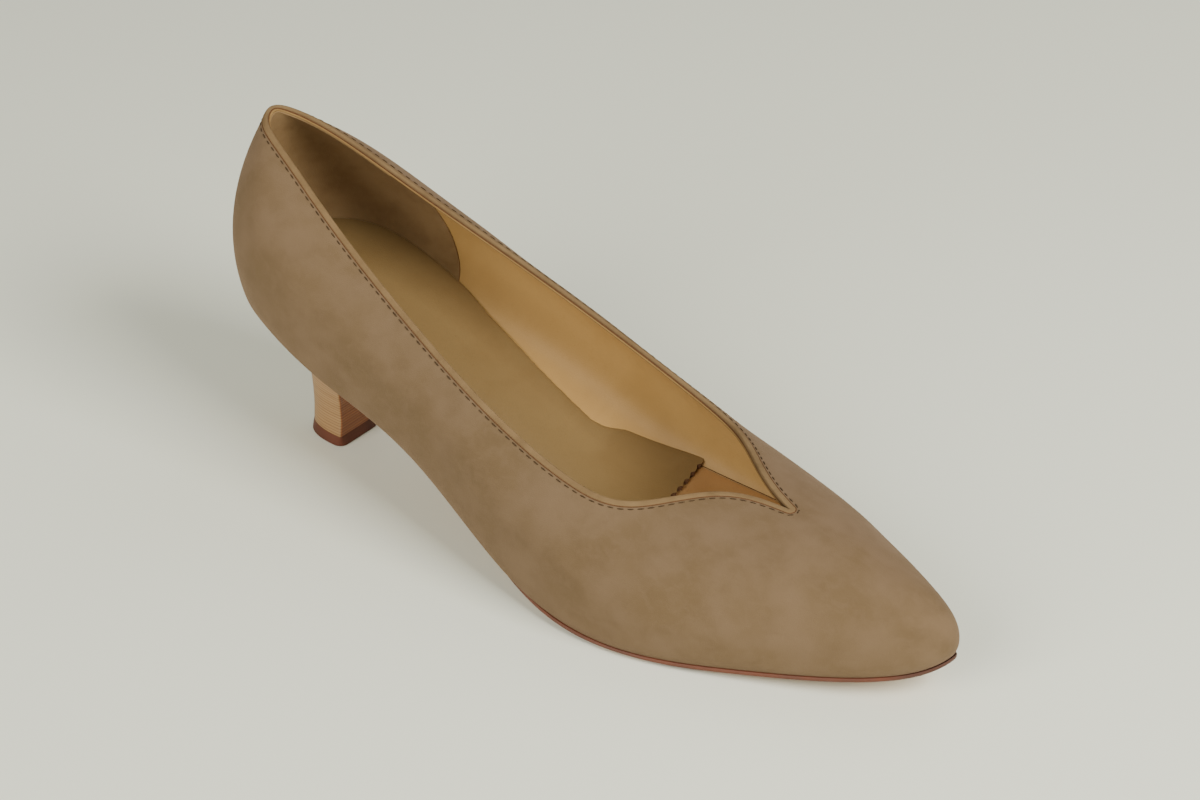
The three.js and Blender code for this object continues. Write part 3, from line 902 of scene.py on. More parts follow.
@dataclass(frozen=True)
class PolishedEdge:
    """Dyed and burnished leather, as at a sole's edge and underside."""

    name: str
    base: Colour
    deep: Colour
    gloss: float = 0.34
    fibre: float = 0.8 * MM
    depth: float = 0.04 * MM
    tip: float = 1.0
    coat: float = 0.3

    def material(self) -> bpy.types.Material:
        """Builds the material, darker towards the tip along X and all in the deep colour past it.

        Returns:
            The material.
        """
        sheet = Sheet(self.name)
        cloud = sheet.noise(sheet.place, 90.0, 3.0, 0.6)
        fibre = sheet.noise(sheet.scaled(1.0, 1.0, 4.0), 1 / self.fibre, 3.0, 0.6)
        # Tone shifts to the deep colour over the 9 mm before the tip along X; for the sole edge this darkens
        # the toe.
        darker_toward_tip = sheet.axis("X").step(self.tip - 9 * MM, self.tip)
        tone = sheet.mix((cloud.step(0.35, 0.7) * 0.6 + darker_toward_tip).clamp(), self.base, self.deep)
        tone = sheet.mix(fibre.step(0.5, 0.8) * 0.4, tone, self.deep)
        normal = sheet.bump(fibre, self.depth, 0.6)
        sheet.finish(tone, self.gloss + fibre * 0.15, normal, Coat_Weight=self.coat, Coat_Roughness=0.2)
        return sheet.material


@dataclass(frozen=True)
class Thread:
    """Twisted thread; also the dark seams and the dark cord of painted shade in the groove under the binding.
    """

    name: str
    base: Colour
    deep: Colour
    strand: float = 0.2 * MM

    def material(self) -> bpy.types.Material:
        """Builds the material.

        Returns:
            The material.
        """
        sheet = Sheet(self.name)
        twist = sheet.noise(sheet.place, 1 / self.strand, 2.0)
        tone = sheet.mix(twist.step(0.4, 0.7), self.base, self.deep)
        sheet.finish(tone, 0.6 + twist * 0.2, sheet.bump(twist, 0.05 * MM, 0.6), Specular_IOR_Level=0.15)
        return sheet.material


@dataclass(frozen=True)
class StudioPaper:
    """Smooth pale floor with a faint gloss."""

    name: str
    base: Colour
    deep: Colour = srgb(180, 182, 176)

    def material(self) -> bpy.types.Material:
        """Builds the material.

        Returns:
            The material.
        """
        sheet = Sheet(self.name)
        cloud = sheet.noise(sheet.place, 3.0, 2.0)
        tone = sheet.mix(cloud * 0.08, self.base, self.deep)
        sheet.finish(tone, 0.32 + cloud * 0.06, None, Specular_IOR_Level=0.35)
        return sheet.material


TAUPE = Suede(
    "taupe_suede",
    srgb(99, 80, 55),
    srgb(109, 89, 66),
    srgb(91, 73, 49),
    patch=18 * MM,
    sheen=0.42,
    bloom=srgb(178, 150, 128),
)
GRIP = Suede("grip_suede", srgb(130, 104, 68), srgb(142, 116, 80), srgb(112, 87, 54), patch=18 * MM)
EDGING = Suede(
    "edging_suede",
    srgb(108, 86, 57),
    srgb(121, 98, 67),
    srgb(92, 73, 46),
    patch=14 * MM,
    nap=0.3 * MM,
    nap_depth=0.05 * MM,
    sheen=0.1,
)
LINING = SmoothLeather(
    "lining_leather", srgb(193, 155, 95), srgb(175, 138, 80), gloss=0.44, coat=0.0, shine=0.22
)
INSOLE = SmoothLeather("insole_leather", srgb(178, 136, 85), srgb(158, 116, 69), gloss=0.5, coat=0.0)
LIP = SmoothLeather("lip_leather", srgb(132, 104, 62), srgb(114, 87, 50), gloss=0.75, coat=0.0, shine=0.15)
SOCK = SmoothLeather("sock_leather", srgb(129, 106, 67), srgb(114, 90, 53), gloss=0.34)
CUT = PolishedEdge("cut_leather", srgb(104, 70, 40), srgb(74, 46, 24), gloss=0.7)
STACK = StackedLeather("stacked_leather", srgb(160, 124, 79), srgb(134, 96, 56), layer=0.9 * MM)
# Darker, redder copy of the stacked leather for the heel's breast face; the darkness is painted shade under
# the waist.
SHADED_BREAST = StackedLeather("stacked_breast_painted_shade", srgb(158, 98, 54), srgb(120, 70, 37), layer=0.9 * MM)
SOLE_EDGE = PolishedEdge("sole_edge", srgb(98, 50, 27), srgb(70, 35, 18), gloss=0.5, tip=118 * MM, coat=0.05)
SOLE_UNDER = PolishedEdge("sole_under", srgb(178, 134, 88), srgb(150, 104, 62), gloss=0.45)
LIFT = PolishedEdge("lift_rubber", srgb(94, 43, 19), srgb(64, 29, 12), gloss=0.5, coat=0.05)
THREAD = Thread("brown_thread", srgb(70, 53, 33), srgb(48, 35, 21))
# Dark brown of the seams, also used for the cord of painted shade in the groove under the binding.
SEAM_AND_SHADE = Thread("dark_seam_and_shade", srgb(96, 62, 36), srgb(66, 42, 24))
PAPER = StudioPaper("pale_paper", srgb(236, 238, 219))


# Geometry Nodes


class NodeSheet:
    """A Geometry Nodes tree with named inputs."""

    def __init__(self, name: str, sizes: dict[str, float]) -> None:
        """Starts the tree.

        Args:
            name: The tree's name.
            sizes: Named inputs and their values; a whole number makes an integer input.
        """
        self.tree = bpy.data.node_groups.new(name, "GeometryNodeTree")
        face = self.tree.interface
        face.new_socket("Geometry", in_out="INPUT", socket_type="NodeSocketGeometry")
        face.new_socket("Geometry", in_out="OUTPUT", socket_type="NodeSocketGeometry")
        self.keys: dict[str, str] = {}
        for label, value in sizes.items():
            kind = "NodeSocketInt" if isinstance(value, int) else "NodeSocketFloat"
            self.keys[label] = face.new_socket(label, in_out="INPUT", socket_type=kind).identifier
        self.sizes = sizes
        self.start = self.tree.nodes.new("NodeGroupInput")
        self.end = self.tree.nodes.new("NodeGroupOutput")

    def add(self, kind: str, settings: dict[str, object], sockets: dict[str | int, object]) -> bpy.types.Node:
        """Adds a node.

        Args:
            kind: The node's type.
            settings: Properties to set first.
            sockets: Values or output sockets for its inputs, by name or number.

        Returns:
            The node.
        """
        node = self.tree.nodes.new(kind)
        for key, value in settings.items():
            setattr(node, key, value)
        for key, value in sockets.items():
            if isinstance(value, bpy.types.NodeSocket):
                self.tree.links.new(value, node.inputs[key])
            else:
                node.inputs[key].default_value = value
        return node

    def close(self, geometry: bpy.types.NodeSocket, material: bpy.types.Material) -> None:
        """Ends the tree in Realize Instances and Set Material.

        Args:
            geometry: The tree's result so far.
            material: The piece's material.
        """
        real = self.add("GeometryNodeRealizeInstances", {}, {0: geometry})
        smooth = self.add("GeometryNodeSetShadeSmooth", {}, {"Geometry": real.outputs[0]})
        dressed = self.add(
            "GeometryNodeSetMaterial", {}, {"Geometry": smooth.outputs[0], "Material": material}
        )
        self.tree.links.new(dressed.outputs[0], self.end.inputs[0])

    def run(
        self, name: str, path: Array, material: bpy.types.Material, closed: bool = True
    ) -> bpy.types.Object:
        """Applies the tree to a path and keeps the result as a plain mesh.

        Args:
            name: The piece's name.
            path: Points of the path.
            material: The piece's material.
            closed: Whether the path's last point joins its first.

        Returns:
            The finished piece.
        """
        count = len(path)
        wire = bpy.data.meshes.new(name + "_path")
        links = [(i, (i + 1) % count) for i in range(count if closed else count - 1)]
        wire.from_pydata(path.tolist(), links, [])
        holder = bpy.data.objects.new(name + "_path", wire)
        bpy.context.scene.collection.objects.link(holder)
        modifier = holder.modifiers.new("stitching", "NODES")
        modifier.node_group = self.tree
        for label, key in self.keys.items():
            modifier[key] = self.sizes[label]
        graph = bpy.context.evaluated_depsgraph_get()
        mesh = bpy.data.meshes.new_from_object(holder.evaluated_get(graph))
        bpy.data.objects.remove(holder)
        mesh.name = name
        mesh.materials.clear()
        mesh.materials.append(material)
        piece = bpy.data.objects.new(name, mesh)
        bpy.context.scene.collection.objects.link(piece)
        return piece


@dataclass
class StitchRow:
    """A row of lock stitches along a closed path."""

    name: str
    pitch: float = 2.8 * MM
    length: float = 1.9 * MM
    thick: float = 0.4 * MM
    least: float = 0.9
    most: float = 1.06
    seed: int = 7

    def build(self, path: Array, material: bpy.types.Material) -> bpy.types.Object:
        """Lays the stitches.

        Args:
            path: Points of the closed path.
            material: The thread's material.

        Returns:
            The row as one mesh.
        """
        sizes = {"Pitch": self.pitch, "Length": self.length, "Thick": self.thick, "Seed": self.seed}
        sheet = NodeSheet(self.name + "_tree", sizes)
        given = sheet.start.outputs
        curve = sheet.add("GeometryNodeMeshToCurve", {}, {0: given["Geometry"]})
        spacing = {"Curve": curve.outputs[0], "Length": given["Pitch"]}
        places = sheet.add("GeometryNodeResampleCurve", {"mode": "LENGTH"}, spacing)
        ball = sheet.add("GeometryNodeMeshUVSphere", {}, {"Segments": 10, "Rings": 8, "Radius": 0.5})
        size = sheet.add(
            "ShaderNodeCombineXYZ", {}, {"X": given["Thick"], "Y": given["Thick"], "Z": given["Length"]}
        )
        stretched = {"Geometry": ball.outputs[0], "Scale": size.outputs[0]}
        stitch = sheet.add("GeometryNodeTransform", {}, stretched)
        way = sheet.add("GeometryNodeInputTangent", {}, {})
        turn = sheet.add("FunctionNodeAlignRotationToVector", {"axis": "Z"}, {"Vector": way.outputs[0]})
        limits = {"Min": self.least, "Max": self.most, "Seed": given["Seed"]}
        vary = sheet.add("FunctionNodeRandomValue", {"data_type": "FLOAT"}, limits)
        laid = sheet.add(
            "GeometryNodeInstanceOnPoints",
            {},
            {
                "Points": places.outputs[0],
                "Instance": stitch.outputs[0],
                "Rotation": turn.outputs[0],
                "Scale": vary.outputs["Value"],
            },
        )
        sheet.close(laid.outputs[0], material)
        return sheet.run(self.name, path, material)


@dataclass
class SeamCord:
    """A thin round line along a path."""

    name: str
    radius: float
    sides: int = 8

    def build(self, path: Array, material: bpy.types.Material, closed: bool = True) -> bpy.types.Object:
        """Draws the line.

        Args:
            path: Points of the path.
            material: Its material.
            closed: Whether the path's last point joins its first.

        Returns:
            The line as one mesh.
        """
        sheet = NodeSheet(self.name + "_tree", {"Radius": self.radius, "Sides": self.sides})
        given = sheet.start.outputs
        curve = sheet.add("GeometryNodeMeshToCurve", {}, {0: given["Geometry"]})
        ring = sheet.add(
            "GeometryNodeCurvePrimitiveCircle", {}, {"Resolution": given["Sides"], "Radius": given["Radius"]}
        )
        swept = {0: curve.outputs[0], 1: ring.outputs[0], "Fill Caps": True}
        tube = sheet.add("GeometryNodeCurveToMesh", {}, swept)
        sheet.close(tube.outputs[0], material)
        return sheet.run(self.name, path, material, closed)


# Sub-assemblies


def dress(piece: bpy.types.Object, material: bpy.types.Material, slot: str, *nodes: str) -> None:
    """Gives a piece its material and its body, and hides the CAD nodes that it stands for.

    Args:
        piece: The finished piece.
        material: Its material.
        slot: Name of a material slot; it is only logged.
        nodes: CAD nodes that it replaces.
    """
    piece.data.materials.clear()
    piece.data.materials.append(material)
    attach(piece, "root")
    if nodes:
        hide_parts(*nodes)
    log.info("%s: %d faces, slot %s", piece.name, len(piece.data.polygons), slot)


class Fold(NamedTuple):
    """A soft trough or ridge on the upper, in the last's own measures."""

    at: float
    up: float
    length: float
    width: float
    slant: float
    height: float
    sides: tuple[Side, ...]


FOLDS = (
    Fold(0.33, 0.55, 0.05, 0.5, 0.3, -0.45 * MM, BOTH_SIDES),
    Fold(0.46, 0.2, 0.04, 0.6, -0.4, 0.3 * MM, BOTH_SIDES),
    Fold(0.62, 0.6, 0.035, 0.4, 0.5, -0.3 * MM, BOTH_SIDES),
    Fold(0.7, 0.45, 0.03, 0.45, 0.4, 0.22 * MM, (Side.LATERAL,)),
    Fold(0.17, -0.1, 0.05, 0.5, 0.2, 0.3 * MM, (Side.LATERAL,)),
    Fold(0.86, 0.9, 0.03, 0.7, 0.0, -0.18 * MM, BOTH_SIDES),
)


@dataclass
class Walls:
    """The upper's suede, its lining and the grip inside the heel."""

    last: Last
    line: TopLine
    wall: float = 1.7 * MM
    suede_inner: float = 1.0 * MM
    below_edge: float = 0.7 * MM
    columns: int = 230
    low_rows: int = 14
    high_rows: int = 34
    grip_end: float = 0.208
    grip_curve: float = 0.05
    grip_thick: float = 0.5 * MM
    throat_steps: tuple[float, ...] = (-2e-3, -8e-4, -2e-4, 0, 8e-4)

    def relief(self, u: Array, side: Side, v: Array) -> Array:
        """Soft troughs and ridges, none at the edges of the upper.

        Args:
            u: Stations.
            side: Which side.
            v: Places in the section.

        Returns:
            Heights over the last's surface.
        """
        share = share_of(u)
        height = np.zeros(np.broadcast(u, v).shape)
        for fold in FOLDS:
            if side in fold.sides:
                along = (share - fold.at - fold.slant * 0.1 * (v - fold.up)) / fold.length
                across = (v - fold.up) / fold.width
                height = height + fold.height * np.exp(-(along**2) - across**2)
        top = self.line.edge(u, side)
        return height * smoothstep(v, -1, -0.4) * smoothstep(top - v, 0.02, 0.35)

    def places(self, stations: Array, side: Side) -> Array:
        """Rows of a wall, from the feather edge to just under the top line.

        Args:
            stations: Stations of the wall's points, as rows by columns.
            side: Which side.

        Returns:
            Places in the section, of the same shape.
        """
        edge = self.line.edge(stations[-1], side)
        top_u = stations[-1]
        turn = 0.01
        step = self.last.point(top_u, side, edge) - self.last.point(top_u, side, edge - turn)
        rise = np.linalg.norm(step, axis=-1) / turn
        top = np.where(top_u >= self.line.throat, CROWN, edge - self.below_edge / np.maximum(rise, 1 * MM))
        low = np.linspace(-1, 0, self.low_rows + 1)[:, None] * np.ones_like(top)
        high = np.linspace(0, 1, self.high_rows + 1)[1:, None] * top
        return np.concatenate([low, high])

    def grip_stations(self, u: Array, v: Array) -> Array:
        """Stations of the grip's columns, whose front edge curves back towards the top line."""
        end = self.grip_end - self.grip_curve * np.clip(v + 0.45, 0, 0.95) ** 2
        return station_of(end) * (u / u[..., -1:])

    def shell(
        self, name: str, outer: float, inner: float, grip: bool = False, folds: bool = False
    ) -> bpy.types.Object:
        """A closed wall between two distances from the last's surface.

        Args:
            name: The piece's name.
            outer: Distance of its outer face.
            inner: Distance of its inner face.
            grip: Whether it ends at the grip's front edge.
            folds: Whether the outer face has the folds.

        Returns:
            The wall.
        """
        u = np.linspace(0, 1, self.columns)
        throat = self.line.throat
        if not grip:
            u = np.unique(np.concatenate([u, throat + np.array(self.throat_steps)]))
        rows = self.low_rows + self.high_rows + 1
        surface = Surface()
        for side in BOTH_SIDES:
            stations = np.broadcast_to(u, (rows, len(u)))
            v = self.places(stations * 0.3 if grip else stations, side)
            if grip:
                for _ in range(4):
                    stations = self.grip_stations(np.broadcast_to(u, v.shape), v)
                    v = self.places(stations, side)
            lift = self.relief(stations, side, v) if folds else 0
            faces = [
                self.last.lifted(stations, side, v, outer + lift),
                self.last.lifted(stations, side, v, inner + lift),
            ]
            flip = side is Side.MEDIAL
            surface.grid(faces[0], flip)
            surface.grid(faces[1], not flip)
            surface.grid(np.stack([faces[1][0], faces[0][0]]), flip)
            opened = stations[-1] <= throat + 1e-9
            surface.grid(np.stack([faces[0][-1][opened], faces[1][-1][opened]]), flip)
            if grip:
                surface.grid(np.stack([faces[0][:, -1], faces[1][:, -1]], axis=1), flip)
        return surface.build(name)

    def build(self) -> None:
        """Builds and dresses the three walls."""
        suede = self.shell("suede_upper", 0.0, -self.suede_inner, folds=True)
        dress(suede, TAUPE.material(), "suede", "upper")
        lining = self.shell("upper_lining", -self.suede_inner - 0.05 * MM, -self.wall)
        dress(lining, LINING.material(), "sock_leather")
        grip = self.shell("heel_grip", -self.wall + 0.1 * MM, -self.wall - self.grip_thick, grip=True)
        dress(grip, GRIP.material(), "suede")


@dataclass
class Edging:
    """The bound top line: outer roll, dark seam, pale lining lip and the stitches below."""

    line: TopLine
    width: float = 1.9 * MM
    proud: float = 0.28 * MM
    roll_depth: float = 1.02 * MM
    lip_outer: float = 1.16 * MM
    lip_inner: float = 1.9 * MM
    lip_width: float = 1.6 * MM
    lip_drop: float = 0.12 * MM
    stitch_below: float = 0.75 * MM

    def sweep(
        self, name: str, loop: Loop, ring: Array, low: tuple[float, float], high: tuple[float, float]
    ) -> bpy.types.Object:
        """Carries a rounded outline along the top line.

        Args:
            name: The piece's name.
            loop: The top line.
            ring: The outline, -1 to 1 both ways.
            low: Least distance down the surface and out of it.
            high: Greatest distance down and out.

        Returns:
            The swept piece.
        """
        down = low[0] + (high[0] - low[0]) * (ring[:, 0] + 1) / 2
        out = low[1] + (high[1] - low[1]) * (ring[:, 1] + 1) / 2
        rows = np.stack([self.line.beside(loop, d, o) for d, o in zip(down, out)])
        rows = np.concatenate([rows, rows[:1]])
        surface = Surface()
        surface.grid(rows.transpose(1, 0, 2), closed=True)
        return surface.build(name, FINE_WELD)

    def build(self) -> None:
        """Builds and dresses the edging."""
        loop = self.line.loop()
        roll = self.sweep(
            "binding_roll", loop, squared_ring(28, 3.2), (0.0, -self.roll_depth), (self.width, self.proud)
        )
        dress(roll, EDGING.material(), "edging", "topline_binding")
        lip_low = (self.lip_drop, -self.lip_inner)
        lip_high = (self.lip_width, -self.lip_outer)
        lip = self.sweep("lining_lip", loop, squared_ring(20, 3.0), lip_low, lip_high)
        dress(lip, LIP.material(), "sock_leather")
        seam_path = self.line.beside(loop, 0.3 * MM, -0.5 * (self.roll_depth + self.lip_outer))
        seam = SeamCord("edge_seam", 0.2 * MM).build(seam_path, SEAM_AND_SHADE.material())
        dress(seam, seam.data.materials[0], "edging")
        # Dark cord in the groove between the binding and the suede: painted shade along the groove.
        groove_shade_path = self.line.beside(loop, self.width + 0.03 * MM, 0.02 * MM)
        groove_shade = SeamCord("binding_groove_shade_cord", 0.13 * MM).build(groove_shade_path, SEAM_AND_SHADE.material())
        dress(groove_shade, groove_shade.data.materials[0], "edging")
        path = self.line.beside(loop, self.width + self.stitch_below, 0.04 * MM)
        row = StitchRow("topline_stitches").build(path, THREAD.material())
        dress(row, row.data.materials[0], "edging")


Shaper = Callable[[Array, Array, Array, bool], Array]


@dataclass
class Footbed:
    """Insole board and the leather sock with its pinked front edge."""

    last: Last
    wall: float = 1.7 * MM
    board: float = 2.2 * MM
    pad: float = 4.8 * MM
    gap: float = 0.3 * MM
    clearance: float = 0.12 * MM
    sock: float = 1.0 * MM
    dish_depth: float = 1.4 * MM
    sock_end: float = 0.562
    sock_bow: float = 1 * MM
    tooth: float = 2.1 * MM
    tooth_depth: float = 1.3 * MM
    bend_from: float = 0.35
    climb: float = 4.2 * MM
    climb_from: float = 0.41
    narrow: float = 1.5 * MM
    front_lift: float = 0.8 * MM
    seam_from: float = 0.545
    feather_climb: float = 4.0 * MM
    edge_drop: float = 0.35 * MM
    cut_zone: float = 6 * MM
    cut_facing: float = 0.35
    across: int = 96
    columns: int = 150

    def __post_init__(self) -> None:
        """Makes the footbed's height curve."""
        stations = [float(station_of(row.at)) for row in PAD]
        self.rise = Spline(stations, [row.rise * self.pad for row in PAD], True, True)
        self.rims: tuple[Array, Array] = (np.zeros((0, 3)), np.zeros((0, 3)))

    def thickness(self, u: Array) -> Array:
        """Height of the board over the feather edge."""
        return self.board + self.rise(u)

    def edges(self, u: Array, low: Array, high: Array) -> tuple[Array, Array]:
        """Outer and inner edge of a layer that reaches the lining.

        Args:
            u: Stations.
            low: Layer's underside over the feather edge.
            high: Layer's top over the feather edge.

        Returns:
            Points of the lateral and the medial edge, at the feather edge's height.
        """
        ends = []
        for side in BOTH_SIDES:
            reach = self.last.lining_reach(u, side, low, high, self.wall)
            ends.append(self.last.feather_plan(u, side, -reach - self.clearance))
        return ends[0], ends[1]

    def sheet(self, name: str, u: Array, low: Array, high: Array, shape: Shaper) -> bpy.types.Object:
        """A layer of the footbed with rounded edges; its top's rims are kept.

        Args:
            name: The piece's name.
            u: Stations.
            low: Underside over the feather edge.
            high: Top over the feather edge.
            shape: Moves a face; takes its points, stations, places across and whether it is the top.

        Returns:
            The layer.
        """
        lateral, medial = self.edges(u, low, high)
        t = np.linspace(-1, 1, self.across + 1)
        share = ((t + 1) / 2)[None, :, None]
        plan = lateral[:, None] * (1 - share) + medial[:, None] * share
        stations = np.broadcast_to(u[:, None], plan.shape[:2])
        places = np.broadcast_to(t[None, :], plan.shape[:2])
        surface = Surface()
        faces = []
        for height, top in ((high, True), (low, False)):
            face = plan.copy()
            face[..., 2] += height[:, None]
            face = shape(face, stations, places, top)
            if top:
                face[..., 2] -= self.edge_drop * smoothstep(np.abs(places), 0.97, 1.0)
                self.rims = face[:, 0], face[:, -1]
            faces.append(face)
        surface.grid(faces[0])
        surface.grid(faces[1], True)
        surface.grid(np.stack([faces[1][:, 0], faces[0][:, 0]], axis=1))
        surface.grid(np.stack([faces[0][:, -1], faces[1][:, -1]], axis=1))
        surface.grid(np.stack([faces[1][0], faces[0][0]]))
        surface.grid(np.stack([faces[0][-1], faces[1][-1]]))
        return surface.build(name, angle=45)

    def curl(self, face: Array, share: Array, places: Array, side: Side, up: Array) -> Array:
        """Bends a layer's edge up the lining.

        Args:
            face: Points of one face of the layer, changed in place.
            share: Their shares of the length.
            places: Their places across.
            side: Which edge.
            up: Rise of the edge at each station.

        Returns:
            The bent face.
        """
        near = np.clip((side.value * places - self.bend_from) / (1 - self.bend_from), 0, 1)
        edge = face[:, -1 if side is Side.MEDIAL else 0].copy()
        v = np.linspace(-0.99, 0, 60)
        reach = np.empty(len(up))
        for i, station in enumerate(station_of(share[:, 0])):
            wall = self.last.lifted(np.full(60, station), side, v, np.full(60, -self.wall - 0.25 * MM))
            reach[i] = side.value * np.interp(edge[i, 2] + up[i], wall[:, 2], wall[:, 1])
        out = np.maximum(0, reach - side.value * edge[:, 1]) * smoothstep(up, 0, 1.5 * MM)
        face[..., 1] += side.value * out[:, None] * near**1.3
        face[..., 2] += up[:, None] * near**2
        return face

    def hollow(self, u: Array, t: Array) -> Array:
        """Dish of the footbed, deepest along its middle."""
        return -self.dish_depth * smoothstep(share_of(u), 0.02, 0.1) * np.maximum(0, 1 - t * t)

    def build_seam(self) -> None:
        """Draws the dark line where the lining turns under the insole, from the ball round the toe."""
        lateral, medial = self.rims
        ahead = medial[:, 0] > self.last.place[0] + self.last.length * self.seam_from
        path = np.concatenate([medial[ahead], lateral[ahead][::-1]])
        path[:, 2] += 0.25 * MM
        seam = SeamCord("feather_seam", 0.12 * MM).build(path, SEAM_AND_SHADE.material(), False)
        dress(seam, seam.data.materials[0], "sock_leather")

    def build(self) -> None:
        """Builds and dresses both layers."""
        u = np.linspace(0.002, 0.998, self.columns)
        height = self.thickness(u)

        def dished(face: Array, stations: Array, places: Array, top: bool) -> Array:
            """Insole's shape, with its top curled up into the lining at the ball.

            Args:
                face: Points of one face, changed in place.
                stations: Their stations.
                places: Their places across.
                top: Whether it is the top.

            Returns:
                The shaped face.
            """
            face[..., 2] += self.hollow(stations, places)
            if top:
                share = share_of(stations)
                rise = smoothstep(share[:, 0], 0.43, 0.57) * (1 - smoothstep(share[:, 0], 0.78, 0.96))
                self.curl(face, share, places, Side.MEDIAL, rise * self.feather_climb)
                self.curl(face, share, places, Side.LATERAL, rise * self.feather_climb * 0.5)
            return face

        insole = self.sheet("insole_cover", u, np.full_like(u, 0.05 * MM), height, dished)
        dress(insole, INSOLE.material(), "insole_board", "insole")
        self.build_seam()

        end = float(station_of(self.sock_end))
        u = np.linspace(0.002, end, self.columns)

        def pinked(face: Array, stations: Array, places: Array, top: bool) -> Array:
            """Sock's shape, with a bowed and toothed front edge.

            Args:
                face: Points of one face, changed in place.
                stations: Their stations.
                places: Their places across.
                top: Whether it is the top.

            Returns:
                The shaped face.
            """
            width = np.linalg.norm(face[-1, -1] - face[-1, 0])
            teeth = max(1, round(width / self.tooth))
            phase = np.abs(((places + 1) / 2 * teeth) % 1 - 0.5) * 2
            forward = self.sock_bow * (1 - places**2) * (share_of(stations) / self.sock_end) ** 8
            near = smoothstep(share_of(stations), self.sock_end - 0.012, self.sock_end)
            forward = forward - self.tooth_depth * phase * near
            ahead = station_of(share_of(stations) + forward / self.last.length)
            drop = self.last.feather_height(ahead) - self.last.feather_height(stations)
            face[..., 0] += forward
            face[..., 2] += self.hollow(stations, places) + drop
            share = share_of(stations)
            arch = smoothstep(share, 0.21, 0.27) * (1 - smoothstep(share, 0.33, 0.44))
            bend = np.clip((places - self.bend_from) / (1 - self.bend_from), 0, 1)
            face[..., 1] -= arch * self.narrow * bend
            climb = smoothstep(share[:, 0], self.climb_from, self.sock_end)
            self.curl(face, share, places, Side.MEDIAL, climb * self.climb)
            self.curl(face, share, places, Side.LATERAL, climb * self.climb * 0.55)
            front = smoothstep(share, self.sock_end - 0.05, self.sock_end)
            wave = 0.4 + 0.6 * np.sin(places * 2.4 + 0.6) ** 2
            face[..., 2] += self.front_lift * front * wave
            return face

        low = self.thickness(u) + 0.05 * MM
        sock = self.sheet("leather_sock", u, low, low + self.gap + self.sock - 0.05 * MM, pinked)
        dress(sock, SOCK.material(), "sock_leather", "sock")
        sock.data.materials.append(CUT.material())
        front = max(v.co.x for v in sock.data.vertices) - self.cut_zone
        for face in sock.data.polygons:
            if face.center.x > front and face.normal.x > self.cut_facing:
                face.material_index = 1


